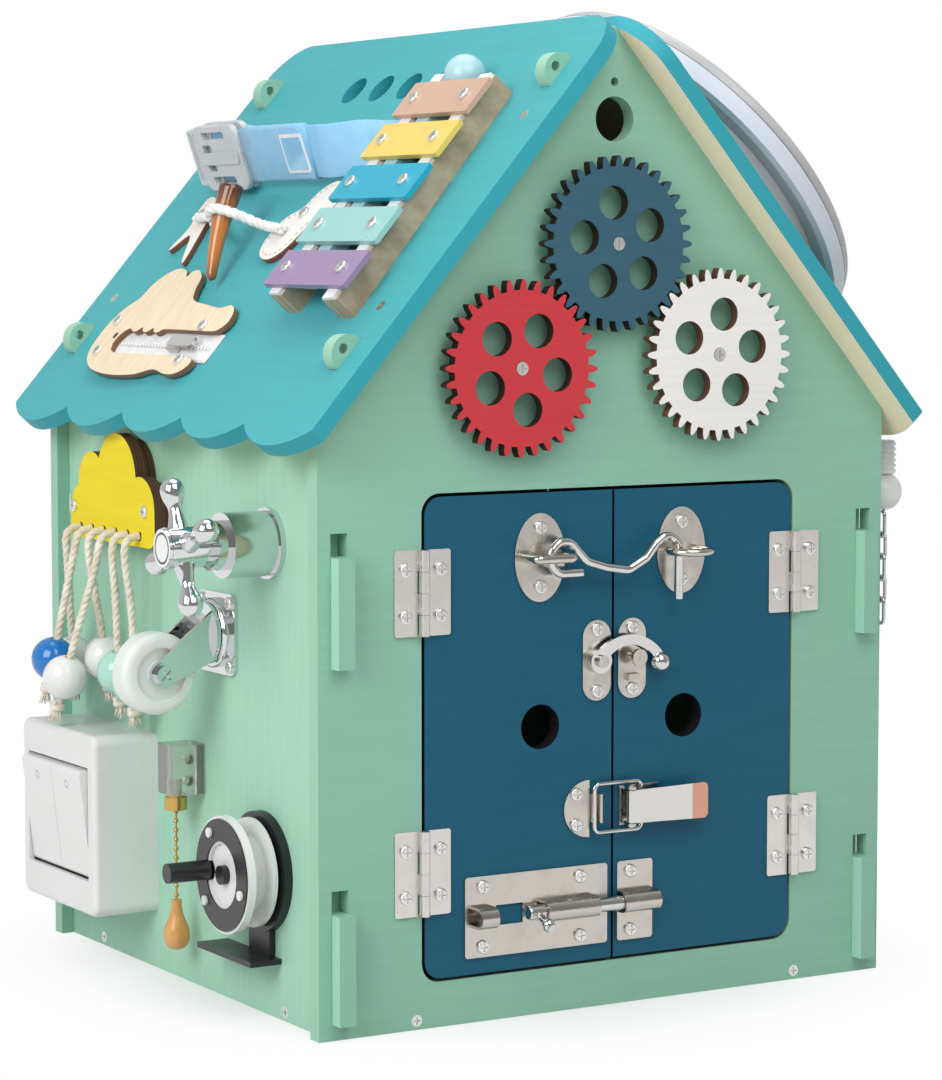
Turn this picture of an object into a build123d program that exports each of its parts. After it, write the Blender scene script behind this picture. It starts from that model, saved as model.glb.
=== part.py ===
from build123d import *
import os
from math import cos, radians, sin, sqrt, tan

# Interactive playhouse: a slotted plywood house with latched doors, meshing gears on its front gable
# and small household fittings screwed to its walls and roof. X is to the right, the front is toward -Y,
# Z is up, and the origin is at the centre of the footprint on the floor. Millimetres and degrees.

os.makedirs("parts", exist_ok=True)

# Driving dimensions of the house
house_width = 300.0
house_depth = 280.0
apex_height = 439.0
roof_pitch = 49.0
panel = 8.0
wall_inset = 6.5
roof_board = 7.5
roof_overhang = 16.5
roof_slope = 237.0
roof_corner = 25.0
scallop_count = 5
scallop_depth = 10.0

# Doorway and doors
door_jamb = 51.0
doorway_width = house_width - 2 * door_jamb
doorway_bottom = 20.0
doorway_top = 235.0
doorway_corner = 9.0
door_side_gap = 1.5
door_meeting_gap = 1.2
door_corner = 8.0
finger_hole_x = 38.3
finger_hole_z = 129.2
finger_hole_diameter = 20.0

# Clearances shared by all pieces
fit_gap = 0.15
running_gap = 0.05
seat_gap = 0.3
overrun = 1.0

# Derived faces of the house
front_face = house_depth / 2
wall_face = house_width / 2 - wall_inset
inner_wall_face = wall_face - panel
inner_front_face = front_face - panel
eave_height = apex_height - house_width / 2 * tan(radians(roof_pitch))
pitch_cos = cos(radians(roof_pitch))
pitch_sin = sin(radians(roof_pitch))

standing = (Align.CENTER, Align.CENTER, Align.MIN)
hanging = (Align.CENTER, Align.CENTER, Align.MAX)


def front_at(x, z, off=0):
    """Plane on the front face: local x to the right, local y up, local z out of the face."""
    return Plane(origin=(x, -front_face - off, z), x_dir=(1, 0, 0), z_dir=(0, -1, 0))


def rear_at(x, z, off=0):
    """Plane on the rear face: local y up, local z out of the face."""
    return Plane(origin=(x, front_face + off, z), x_dir=(-1, 0, 0), z_dir=(0, 1, 0))


def left_at(y, z, off=0):
    """Plane on the left wall: local x to the front, local y up, local z out of the wall."""
    return Plane(origin=(-wall_face - off, y, z), x_dir=(0, -1, 0), z_dir=(-1, 0, 0))


def right_at(y, z, off=0):
    """Plane on the right wall: local x to the rear, local y up, local z out of the wall."""
    return Plane(origin=(wall_face + off, y, z), x_dir=(0, 1, 0), z_dir=(1, 0, 0))


def roof_at(side, y, slope, off=0):
    """Plane on a roof panel's top, slope millimetres down from the ridge: local y up the slope."""
    height = roof_board + off
    return Plane(
        origin=(
            side * (slope * pitch_cos + height * pitch_sin),
            y,
            apex_height - slope * pitch_sin + height * pitch_cos,
        ),
        x_dir=(0, side, 0),
        z_dir=(side * pitch_sin, 0, pitch_cos),
    )


# Fasteners. Every screw has a plain envelope, which cuts its hole, and a finished body with a
# cross recess.
cross_width = 0.7
cross_depth_share = 0.5
cross_length_share = 1.3


def make_screw(head_radius, head_height, shank_radius, shank_length, recessed, sunk):
    """Screw on the XY plane: its head stands on it, or lies flush below it when sunk."""
    head_top = 0 if sunk else head_height
    with BuildPart(Plane.XY.offset(head_top)) as screw:
        Cylinder(head_radius, head_height, align=hanging)
        if not sunk:
            fillet(screw.edges().sort_by(Axis.Z)[-1], head_height * cross_depth_share)
        with Locations(Location((0, 0, -head_height))):
            Cylinder(shank_radius, shank_length, align=hanging)
        if recessed:
            for turn in (0, 90):
                with Locations(Location((0, 0, 0), (0, 0, turn))):
                    Box(
                        head_radius * cross_length_share,
                        cross_width,
                        head_height * cross_depth_share,
                        align=hanging,
                        mode=Mode.SUBTRACT,
                    )
    return screw.part


plate_head_radius = 3.0
plate_head_height = 1.7
plate_shank_radius = 1.2
plate_shank_length = 6.6
plate_screw = make_screw(
    plate_head_radius, plate_head_height, plate_shank_radius, plate_shank_length, True, False
)
plate_bore = make_screw(
    plate_head_radius, plate_head_height, plate_shank_radius, plate_shank_length, False, False
)

wood_head_radius = 2.6
wood_head_height = 1.8
wood_shank_radius = 1.4
wood_shank_length = 20.0
wood_screw = make_screw(
    wood_head_radius, wood_head_height, wood_shank_radius, wood_shank_length, True, True
)
wood_bore = make_screw(
    wood_head_radius, wood_head_height, wood_shank_radius, wood_shank_length, False, True
)


def placed(shape, planes):
    """Copies of a shape on a list of planes, as one private compound."""
    return Compound([solid for plane in planes for solid in (plane.location * shape).solids()])


# Where the house is screwed together
floor_screw_x = 101.5
floor_screw_y = 96.0
roof_screw_slopes = (59.4, 169.0)
gable_middle = front_face - panel / 2
house_screw_planes = (
    [front_at(side * floor_screw_x, panel / 2) for side in (-1, 1)]
    + [rear_at(side * floor_screw_x, panel / 2) for side in (-1, 1)]
    + [left_at(side * floor_screw_y, panel / 2) for side in (-1, 1)]
    + [right_at(side * floor_screw_y, panel / 2) for side in (-1, 1)]
    + [
        roof_at(side, end * gable_middle, slope)
        for side in (-1, 1)
        for end in (-1, 1)
        for slope in roof_screw_slopes
    ]
)
house_bores = placed(wood_bore, house_screw_planes)

# Gears: equal wheels on the front gable, the two lower ones meshing with the upper one
gear_teeth = 32
gear_centre_distance = 73.7
gear_red_angle = 227.3
gear_white_angle = 317.6
gear_top_x = -3.4
gear_top_drop = 96.2
gear_top_z = apex_height - gear_top_drop
gear_tip_radius = 38.9
gear_root_radius = 34.2
gear_thickness = 5.0
gear_spacer_height = 4.0
gear_spacer_radius = 7.0
gear_shank_radius = 2.0
gear_head_radius = 3.0
gear_head_height = 2.2
gear_hole_diameter = 15.0
gear_hole_circle = 18.3
gear_hole_count = 5
gear_root_share = 0.56
gear_pitch_share = 0.40
gear_tip_share = 0.26
gear_pilot_depth = 7.0

gear_back = gear_spacer_height + fit_gap
gear_half_pitch = 180 / gear_teeth
gear_places = {"gear_blue": (gear_top_x, gear_top_z, 27.0, 0)}
for gear_name, angle, hole_phase in (
    ("gear_red", gear_red_angle, -9.3),
    ("gear_white", gear_white_angle, 11.0),
):
    gear_places[gear_name] = (
        gear_top_x + gear_centre_distance * cos(radians(angle)),
        gear_top_z + gear_centre_distance * sin(radians(angle)),
        hole_phase,
        2 * angle + gear_half_pitch,
    )

# Gable openings
gable_hole_drop = 41.1
gable_hole_z = apex_height - gable_hole_drop
gable_hole_diameter = 20.0
hanging_hole_drop = 24.7
hanging_hole_z = apex_height - hanging_hole_drop
hanging_hole_diameter = 4.0

# Roof tabs of the gables, which pass through slots in the roof panels
tab_slopes = (34.2, 196.0)
tab_width = 17.0
tab_hole_diameter = 4.6
tab_hole_rise = 3.5
tab_slot_gap = 0.3

# Hooked tabs of the walls, which pass through slots in the gables and drop behind their lips
hook_bottoms = (16.6, 171.0)
hook_bar_height = 38.4
hook_slot_height = 48.6
hook_drop = 9.5
hook_reach = 7.0


def gable_outline():
    """Five-sided gable with its roof tabs and the slots for the wall hooks."""
    half = house_width / 2
    with BuildSketch() as outline:
        with BuildLine():
            Polyline(
                (-half, 0),
                (-half, eave_height),
                (0, apex_height),
                (half, eave_height),
                (half, 0),
                close=True,
            )
        make_face()
        for side in (-1, 1):
            for slope in tab_slopes:
                foot = (side * slope * pitch_cos, apex_height - slope * pitch_sin, 0)
                with Locations(Location(foot, (0, 0, -side * roof_pitch))):
                    with Locations((0, roof_board / 2)):
                        Rectangle(tab_width, roof_board)
                    with Locations((0, roof_board)):
                        Circle(tab_width / 2)
                    with Locations((0, roof_board + tab_hole_rise)):
                        Circle(tab_hole_diameter / 2, mode=Mode.SUBTRACT)
            for bottom in hook_bottoms:
                with Locations((side * (wall_face - panel / 2), bottom + hook_slot_height / 2)):
                    Rectangle(panel + 2 * fit_gap, hook_slot_height, mode=Mode.SUBTRACT)
    return outline.sketch


gable_shape = gable_outline()

# Front gable: doorway, vent hole, hanging hole, hinge screws and gear pilots are cut here
hinge_height = 37.6
hinge_leaf_width = 14.0
hinge_leaf = 1.2
hinge_barrel_radius = 2.4
hinge_axis_off = 2.7
hinge_pin_radius = 1.3
hinge_levels = (69.2, 192.1)
hinge_knuckles = 4
hinge_screw_in_share = 0.62
hinge_screw_up_share = 0.27

hinge_screw_x = hinge_leaf_width * hinge_screw_in_share
hinge_screw_z = hinge_height * hinge_screw_up_share
doorway_half = doorway_width / 2
frame_hinge_screws = [
    front_at(side * (doorway_half + hinge_screw_x), level + up * hinge_screw_z, hinge_leaf)
    for side in (-1, 1)
    for level in hinge_levels
    for up in (-1, 1)
]
frame_hinge_bores = placed(plate_bore, frame_hinge_screws)
gear_pilot_planes = [front_at(x, z) for x, z, _, _ in gear_places.values()]

with BuildPart() as front_gable:
    with BuildSketch(front_at(0, 0, -panel)) as front_profile:
        add(gable_shape)
        doorway_middle = (doorway_bottom + doorway_top) / 2
        with Locations((0, doorway_middle)):
            RectangleRounded(
                doorway_width, doorway_top - doorway_bottom, doorway_corner, mode=Mode.SUBTRACT
            )
        with Locations((0, gable_hole_z)):
            Circle(gable_hole_diameter / 2, mode=Mode.SUBTRACT)
        with Locations((0, hanging_hole_z)):
            Circle(hanging_hole_diameter / 2, mode=Mode.SUBTRACT)
    extrude(amount=panel)
    with Locations(*gear_pilot_planes):
        Cylinder(gear_shank_radius, gear_pilot_depth, align=hanging, mode=Mode.SUBTRACT)
    add(house_bores, mode=Mode.SUBTRACT)
    add(frame_hinge_bores, mode=Mode.SUBTRACT)
front_gable.part.label = "front_gable"
export_step(front_gable.part, "parts/front_gable.step")

# Rear gable: the same outline, left closed
with BuildPart() as rear_gable:
    with BuildSketch(rear_at(0, 0, -panel)) as rear_profile:
        add(gable_shape)
    extrude(amount=panel)
    add(house_bores, mode=Mode.SUBTRACT)
rear_gable.part.label = "rear_gable"
export_step(rear_gable.part, "parts/rear_gable.step")

# Walls: each has two hooked tabs at either end, which rest on the bottoms of the gable slots
wall_height = apex_height - wall_face * tan(radians(roof_pitch)) - seat_gap
wall_half_length = inner_front_face - fit_gap


def wall_outline():
    """A wall with its hooked tabs, seen from outside."""
    with BuildSketch() as outline:
        with Locations((0, wall_height / 2)):
            Rectangle(2 * wall_half_length, wall_height)
        for end in (-1, 1):
            for bottom in hook_bottoms:
                bar_middle = bottom + hook_bar_height / 2
                bar_length = front_face + hook_reach - wall_half_length
                with Locations((end * (wall_half_length + bar_length / 2), bar_middle)):
                    Rectangle(bar_length, hook_bar_height)
                lip_thickness = hook_reach - fit_gap
                lip_height = hook_bar_height + hook_drop
                lip_middle = bottom + hook_bar_height - lip_height / 2
                with Locations((end * (front_face + hook_reach - lip_thickness / 2), lip_middle)):
                    Rectangle(lip_thickness, lip_height)
    return outline.sketch


wall_shape = wall_outline()

# Fittings on the left wall and on the roof are screwed on with the same plate screws. Their places
# stand here, because the panels are bored for them.
caster_y = -33.7
caster_z = 167.2
caster_plate_size = 37.0
caster_plate = 2.0
caster_screw_share = 0.39
cloud_screws = ((98.5, 217.0), (19.1, 219.0))
cloud_board = 6.0
cloud_spacer = 6.0
reel_y = -77.0
reel_z = 64.5

caster_screw = caster_plate_size * caster_screw_share
caster_screw_planes = [
    left_at(caster_y + along * caster_screw, caster_z + up * caster_screw, caster_plate)
    for along in (-1, 1)
    for up in (-1, 1)
]
cloud_screw_planes = [left_at(y, z, cloud_spacer + cloud_board) for y, z in cloud_screws]
cloud_shank_length = 17.0
cloud_screw = make_screw(
    plate_head_radius, plate_head_height, plate_shank_radius, cloud_shank_length, True, False
)
cloud_bore = make_screw(
    plate_head_radius, plate_head_height, plate_shank_radius, cloud_shank_length, False, False
)
left_bores = placed(plate_bore, caster_screw_planes)
cloud_bores = placed(cloud_bore, cloud_screw_planes)

with BuildPart() as left_wall:
    with BuildSketch(left_at(0, 0, -panel)) as left_profile:
        add(wall_shape)
    extrude(amount=panel)
    add(house_bores, mode=Mode.SUBTRACT)
    add(left_bores, mode=Mode.SUBTRACT)
    add(cloud_bores, mode=Mode.SUBTRACT)
left_wall.part.label = "left_wall"
export_step(left_wall.part, "parts/left_wall.step")

with BuildPart() as right_wall:
    with BuildSketch(right_at(0, 0, -panel)) as right_profile:
        add(wall_shape)
    extrude(amount=panel)
    add(house_bores, mode=Mode.SUBTRACT)
right_wall.part.label = "right_wall"
export_step(right_wall.part, "parts/right_wall.step")

# Floor board, let in between the four panels
with BuildPart() as floor_board:
    Box(
        2 * (inner_wall_face - fit_gap),
        2 * (inner_front_face - fit_gap),
        panel,
        align=standing,
    )
    add(house_bores, mode=Mode.SUBTRACT)
floor_board.part.label = "floor_board"
export_step(floor_board.part, "parts/floor_board.step")

# Roof panels: rounded corners at the ridge, scallops at the eave
roof_half_length = front_face + roof_overhang
roof_hole_diameter = 16.5
roof_hole_slope = 35.5
roof_hole_first = 47.0
roof_hole_pitch = 27.0
roof_hole_count = 4


def roof_outline():
    """A roof panel seen from above, its ridge edge on the local X axis."""
    scallop_width = 2 * roof_half_length / scallop_count
    with BuildSketch() as outline:
        with BuildLine():
            Polyline(
                (-roof_half_length, -roof_slope),
                (-roof_half_length, -fit_gap),
                (roof_half_length, -fit_gap),
                (roof_half_length, -roof_slope),
            )
            for number in range(scallop_count):
                start = roof_half_length - number * scallop_width
                ThreePointArc(
                    (start, -roof_slope),
                    (start - scallop_width / 2, -roof_slope - scallop_depth),
                    (start - scallop_width, -roof_slope),
                )
        make_face()
        ridge_corners = outline.vertices().sort_by(Axis.Y)[-2:]
        fillet(ridge_corners, roof_corner)
        for end in (-1, 1):
            for slope in tab_slopes:
                with Locations((end * gable_middle, -slope)):
                    Rectangle(panel + 2 * fit_gap, tab_width + 2 * tab_slot_gap, mode=Mode.SUBTRACT)
    return outline.sketch


roof_shape = roof_outline()

# Screws of the fittings on the left roof. Places are given as y along the ridge and slope down it.
bar_count = 5
bar_first_slope = 60.7
bar_pitch = 25.2
bar_width = 20.0
bar_rear_y = -52.0
bar_short = 66.0
bar_long = 75.0
bar_thickness = 2.5
bar_screw_rear_share = 0.15
bar_screw_front_share = 0.83
rail_height = 12.0
rail_pad = 1.5
rail_width = 12.0
bar_top = rail_height + rail_pad + bar_thickness
bar_shank_length = 19.0
strap_screws = ((88.0, 72.0), (-8.0, 72.0))
strap_thickness = 1.5
patch_screws = ((-7.4, 117.6), (100.0, 117.0))
patch_thickness = 3.0
figure_screws = ((99.0, 186.5), (96.0, 205.5), (5.0, 187.5), (2.7, 208.0))
figure_board = 3.0
zipper_tape = 1.0

bar_lengths = [
    bar_short + (bar_long - bar_short) * number / (bar_count - 1) for number in range(bar_count)
]
bar_slopes = [bar_first_slope + bar_pitch * number for number in range(bar_count)]
bar_screw_planes = [
    roof_at(-1, bar_rear_y - share * length, slope, bar_top)
    for length, slope in zip(bar_lengths, bar_slopes)
    for share in (bar_screw_rear_share, bar_screw_front_share)
]
bar_screw = make_screw(
    plate_head_radius, plate_head_height, plate_shank_radius, bar_shank_length, True, False
)
bar_bore = make_screw(
    plate_head_radius, plate_head_height, plate_shank_radius, bar_shank_length, False, False
)
figure_top = zipper_tape + figure_board
roof_screw_planes = (
    [roof_at(-1, y, slope, strap_thickness) for y, slope in strap_screws]
    + [roof_at(-1, y, slope, patch_thickness) for y, slope in patch_screws]
    + [roof_at(-1, y, slope, figure_top) for y, slope in figure_screws]
)
bar_bores = placed(bar_bore, bar_screw_planes)
roof_bores = placed(plate_bore, roof_screw_planes)

with BuildPart() as roof_left:
    with BuildSketch(roof_at(-1, 0, 0, -roof_board)) as roof_left_profile:
        add(roof_shape)
        for number in range(roof_hole_count):
            hole_y = roof_hole_first - number * roof_hole_pitch
            with Locations((-hole_y, -roof_hole_slope)):
                Circle(roof_hole_diameter / 2, mode=Mode.SUBTRACT)
    extrude(amount=roof_board)
    add(house_bores, mode=Mode.SUBTRACT)
    add(bar_bores, mode=Mode.SUBTRACT)
    add(roof_bores, mode=Mode.SUBTRACT)
roof_left.part.label = "roof_left"
export_step(roof_left.part, "parts/roof_left.step")

with BuildPart() as roof_right:
    with BuildSketch(roof_at(1, 0, 0, -roof_board)) as roof_right_profile:
        add(roof_shape)
    extrude(amount=roof_board)
    add(house_bores, mode=Mode.SUBTRACT)
roof_right.part.label = "roof_right"
export_step(roof_right.part, "parts/roof_right.step")

# House screws, the frame leaves' screws, and the shoulder screws and spacers that carry the gears
gear_screw_top = gear_back + gear_thickness + fit_gap
with BuildPart() as assembly_screws:
    add(placed(wood_screw, house_screw_planes))
    add(placed(plate_screw, frame_hinge_screws))
    for plane in gear_pilot_planes:
        with Locations(plane):
            Cylinder(gear_spacer_radius, gear_spacer_height, align=standing)
            Cylinder(gear_shank_radius, gear_screw_top, align=standing)
            Cylinder(gear_shank_radius, gear_pilot_depth, align=hanging)
        with Locations(plane.offset(gear_screw_top)):
            Cylinder(gear_head_radius, gear_head_height - fit_gap, align=hanging)
        for turn in (0, 90):
            with Locations(plane.offset(gear_screw_top) * Location((0, 0, 0), (0, 0, turn))):
                Box(
                    gear_head_radius * cross_length_share,
                    cross_width,
                    gear_head_height * cross_depth_share,
                    align=hanging,
                    mode=Mode.SUBTRACT,
                )
assembly_screws.part.label = "assembly_screws"
export_step(assembly_screws.part, "parts/assembly_screws.step")


def tooth_outline():
    """One slender round-tipped tooth along local X."""
    pitch = 360 / gear_teeth
    root_half = radians(pitch) * gear_root_share / 2
    pitch_half = radians(pitch) * gear_pitch_share / 2
    tip_half = radians(pitch) * gear_tip_share / 2
    inner = gear_root_radius - overrun
    middle = gear_centre_distance / 2
    shoulder = gear_tip_radius - gear_tip_radius * tip_half
    points = [
        (inner * cos(root_half), -inner * sin(root_half)),
        (gear_root_radius * cos(root_half), -gear_root_radius * sin(root_half)),
        (middle * cos(pitch_half), -middle * sin(pitch_half)),
        (shoulder * cos(tip_half), -shoulder * sin(tip_half)),
    ]
    with BuildSketch() as tooth:
        with BuildLine():
            Polyline(*points)
            ThreePointArc(
                points[-1], (gear_tip_radius, 0), (points[-1][0], -points[-1][1])
            )
            Polyline(*[(x, -y) for x, y in reversed(points)])
            Line((points[0][0], -points[0][1]), points[0])
        make_face()
    return tooth.sketch


tooth_shape = tooth_outline()
for gear_name, (gear_x, gear_z, hole_phase, tooth_phase) in gear_places.items():
    with BuildPart() as gear:
        with BuildSketch(front_at(gear_x, gear_z, gear_back)) as gear_profile:
            Circle(gear_root_radius)
            with PolarLocations(0, gear_teeth, start_angle=tooth_phase):
                add(tooth_shape)
            with PolarLocations(gear_hole_circle, gear_hole_count, start_angle=hole_phase):
                Circle(gear_hole_diameter / 2, mode=Mode.SUBTRACT)
        extrude(amount=gear_thickness)
        with Locations(front_at(gear_x, gear_z, gear_back)):
            Cylinder(
                gear_shank_radius + running_gap,
                gear_thickness,
                align=standing,
                mode=Mode.SUBTRACT,
            )
        with Locations(front_at(gear_x, gear_z, gear_back + gear_thickness)):
            Cylinder(
                gear_head_radius + fit_gap,
                gear_head_height,
                align=hanging,
                mode=Mode.SUBTRACT,
            )
    gear.part.label = gear_name
    export_step(gear.part, "parts/" + gear_name + ".step")

# Hinges: a hinge is two equal leaves, one turned half round, with a pin through their knuckles
hinge_plane_pairs = [
    (front_at(side * doorway_half, level), side) for side in (-1, 1) for level in hinge_levels
]
knuckle_length = hinge_height / hinge_knuckles


def make_hinge_leaf():
    """A leaf that lies along local X, with every second knuckle on the local Y axis."""
    axis_plane = Plane(origin=(0, 0, hinge_axis_off), x_dir=(1, 0, 0), z_dir=(0, 1, 0))
    with BuildPart() as leaf:
        with BuildSketch() as leaf_profile:
            with Locations((hinge_leaf_width / 2, 0)):
                RectangleRounded(hinge_leaf_width, hinge_height, hinge_leaf)
            Rectangle(2 * hinge_leaf, hinge_height)
            with Locations((-hinge_leaf_width / 2, 0)):
                Rectangle(hinge_leaf_width, hinge_height, mode=Mode.SUBTRACT)
            for knuckle in (1, 3):
                with Locations((0, (knuckle + 0.5) * knuckle_length - hinge_height / 2)):
                    Rectangle(
                        2 * (hinge_barrel_radius + seat_gap),
                        knuckle_length + 2 * fit_gap,
                        mode=Mode.SUBTRACT,
                    )
        extrude(amount=hinge_leaf)
        for knuckle in (0, 2):
            middle = (knuckle + 0.5) * knuckle_length - hinge_height / 2
            with Locations(axis_plane.offset(middle)):
                Cylinder(hinge_barrel_radius, knuckle_length - fit_gap)
        with Locations(axis_plane):
            Cylinder(hinge_pin_radius + running_gap, hinge_height + overrun, mode=Mode.SUBTRACT)
        with Locations(*[(hinge_screw_x, up * hinge_screw_z, 0) for up in (-1, 1)]):
            Cylinder(plate_shank_radius, 2 * hinge_leaf, mode=Mode.SUBTRACT)
    return leaf.part


hinge_leaf_shape = make_hinge_leaf()


def along(plane, side):
    """The plane turned so that its local x points to that side."""
    return Plane(origin=plane.origin, x_dir=plane.x_dir * side, z_dir=plane.z_dir)


with BuildPart() as hinge_leaves_frame:
    add(placed(hinge_leaf_shape, [along(plane, side) for plane, side in hinge_plane_pairs]))
    for plane, side in hinge_plane_pairs:
        with Locations(plane.offset(hinge_axis_off) * Location((0, 0, 0), (90, 0, 0))):
            Cylinder(hinge_pin_radius, hinge_height)
hinge_leaves_frame.part.label = "hinge_leaves_frame"
export_step(hinge_leaves_frame.part, "parts/hinge_leaves_frame.step")

for side_name, side in (("left", -1), ("right", 1)):
    with BuildPart() as hinge_leaves:
        add(
            placed(
                hinge_leaf_shape,
                [along(plane, -side) for plane, edge in hinge_plane_pairs if edge == side],
            )
        )
    hinge_leaves.part.label = "hinge_leaves_" + side_name
    export_step(hinge_leaves.part, "parts/hinge_leaves_" + side_name + ".step")

# Door fittings. Places on the doors are x from the middle of the doorway and z from the floor.
latch_plate = 1.2
hook_plate_width = 26.0
hook_plate_height = 39.4
hook_plate_left_x = -39.2
hook_plate_right_x = 36.0
hook_z = 204.8
hook_screw_rise = 13.0
swing_plate_width = 14.8
swing_plate_height = 36.3
swing_left_x = -9.2
swing_right_x = 9.6
swing_z = 157.2
swing_screw_rise = 13.9
strike_screw_x = -20.2
strike_screw_rise = 7.0
draw_z = 90.6
bolt_z = 47.0
bolt_plate_left = -77.7
bolt_plate_right = -3.3
bolt_plate_height = 36.2
bolt_screws_x = (-68.7, -18.0)
bolt_screw_rise = 13.4
keeper_left = 2.1
keeper_right = 21.1
keeper_screw_x = 8.9
draw_base_left = 3.0
draw_base_right = 24.0

left_door_screws = (
    [(-doorway_half + hinge_screw_x, z + up * hinge_screw_z) for z in hinge_levels for up in (-1, 1)]
    + [(hook_plate_left_x, hook_z + up * hook_screw_rise) for up in (-1, 1)]
    + [(swing_left_x, swing_z + up * swing_screw_rise) for up in (-1, 1)]
    + [(strike_screw_x, draw_z + up * strike_screw_rise) for up in (-1, 1)]
    + [(x, bolt_z + up * bolt_screw_rise) for x in bolt_screws_x for up in (-1, 1)]
)
right_door_screws = (
    [(doorway_half - hinge_screw_x, z + up * hinge_screw_z) for z in hinge_levels for up in (-1, 1)]
    + [(hook_plate_right_x, hook_z + up * hook_screw_rise) for up in (-1, 1)]
    + [(swing_right_x, swing_z + up * swing_screw_rise) for up in (-1, 1)]
    + [(keeper_screw_x, bolt_z + up * bolt_screw_rise) for up in (-1, 1)]
)
door_screw_places = {"left": left_door_screws, "right": right_door_screws}
door_width = doorway_half - door_side_gap - door_meeting_gap / 2
door_middle = (doorway_bottom + doorway_top) / 2
door_height = doorway_top - doorway_bottom - 2 * door_side_gap

for side_name, side in (("left", -1), ("right", 1)):
    screw_planes = [front_at(x, z, latch_plate) for x, z in door_screw_places[side_name]]
    with BuildPart() as door:
        with BuildSketch(front_at(0, 0, -panel)) as door_profile:
            with Locations((side * (door_meeting_gap + door_width) / 2, door_middle)):
                Rectangle(door_width, door_height)
            hinge_side = door_profile.vertices().group_by(Axis.X)[-1 if side > 0 else 0]
            fillet(hinge_side, door_corner)
            with Locations((side * finger_hole_x, finger_hole_z)):
                Circle(finger_hole_diameter / 2, mode=Mode.SUBTRACT)
        extrude(amount=panel)
        add(placed(plate_bore, screw_planes), mode=Mode.SUBTRACT)
    door.part.label = "door_" + side_name
    export_step(door.part, "parts/door_" + side_name + ".step")

    with BuildPart() as door_screws:
        add(placed(plate_screw, screw_planes))
    door_screws.part.label = "door_screws_" + side_name
    export_step(door_screws.part, "parts/door_screws_" + side_name + ".step")

# Hook and eye: two oval plates, a level ring on the right one, and a hook rod on the left one
ring_radius = 10.0
ring_wire = 1.7
hook_wire = 2.0
hook_off = 8.0
hook_pivot_x = -28.0
hook_root_x = -47.0
hook_staple_wire = 2.0
hook_curl = (
    (-21.8, -7.0),
    (-33.7, -7.0),
    (-37.8, -2.9),
    (-37.8, 2.9),
    (-33.7, 7.0),
    (-27.9, 7.0),
)
hook_bend = 5.0
hook_rod_path = (
    *hook_curl,
    (-18.9, -2.2),
    (-8.9, -5.2),
    (2.9, -7.0),
    (12.2, -2.2),
    (17.7, 4.3),
    (24.0, 8.3),
    (30.0, 4.0),
    (30.0, -21.3),
)

with BuildPart() as hook_plate_left:
    with BuildSketch(front_at(hook_plate_left_x, hook_z)) as plate_profile:
        Ellipse(hook_plate_width / 2, hook_plate_height / 2)
        with Locations(*[(0, up * hook_screw_rise) for up in (-1, 1)]):
            Circle(plate_shank_radius, mode=Mode.SUBTRACT)
    extrude(amount=latch_plate)
    hook_crest = hook_off + hook_wire + hook_staple_wire + running_gap
    with BuildLine(Plane(origin=(0, -front_face, hook_z), x_dir=(1, 0, 0), z_dir=(0, 0, 1))) as staple_path:
        FilletPolyline(
            (hook_root_x, 0),
            (hook_root_x, -hook_crest),
            (hook_pivot_x, -hook_crest),
            (hook_pivot_x, 0),
            radius=hook_staple_wire + running_gap,
        )
    with BuildSketch(front_at(hook_root_x, hook_z)) as staple_section:
        Circle(hook_staple_wire)
    sweep()
hook_plate_left.part.label = "hook_plate_left"
export_step(hook_plate_left.part, "parts/hook_plate_left.step")

with BuildPart() as hook_plate_right:
    with BuildSketch(front_at(hook_plate_right_x, hook_z)) as plate_profile:
        Ellipse(hook_plate_width / 2, hook_plate_height / 2)
        with Locations(*[(0, up * hook_screw_rise) for up in (-1, 1)]):
            Circle(plate_shank_radius, mode=Mode.SUBTRACT)
    extrude(amount=latch_plate)
    with Locations(Plane(origin=(hook_plate_right_x, -front_face - hook_off, hook_z))):
        Torus(ring_radius, ring_wire)
    split(bisect_by=front_at(0, 0), keep=Keep.TOP)
hook_plate_right.part.label = "hook_plate_right"
export_step(hook_plate_right.part, "parts/hook_plate_right.step")

# The rod turns on the staple: its curled end goes round the staple's front leg
with BuildPart() as hook_rod:
    with BuildLine(front_at(0, hook_z, hook_off)) as rod_path:
        FilletPolyline(*hook_rod_path, radius=hook_bend)
    with BuildSketch(Plane(rod_path.line @ 0, z_dir=rod_path.line % 0)) as rod_section:
        Circle(hook_wire)
    sweep()
hook_rod.part.label = "hook_rod"
export_step(hook_rod.part, "parts/hook_rod.step")

# Swing latch: two oblong plates, an arched arm that drops over the keeper stud
arm_off = 3.2
arm_thickness = 2.0
arm_boss_radius = 5.5
arm_pin_radius = 2.0
arm_ball_x = 22.8
arm_ball_z = -2.2
arm_ball_radius = 4.5
arm_arch_top = 10.8
arm_arch_foot = 6.2
stud_neck_radius = 1.8
stud_head_radius = 3.8
stud_rise = 0.8
stud_neck_off = 6.0
stud_head = 2.0
swing_tab_drop = 8.5
swing_tab_width = 6.0
swing_tab_height = 3.0
swing_tab_reach = 3.4

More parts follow.
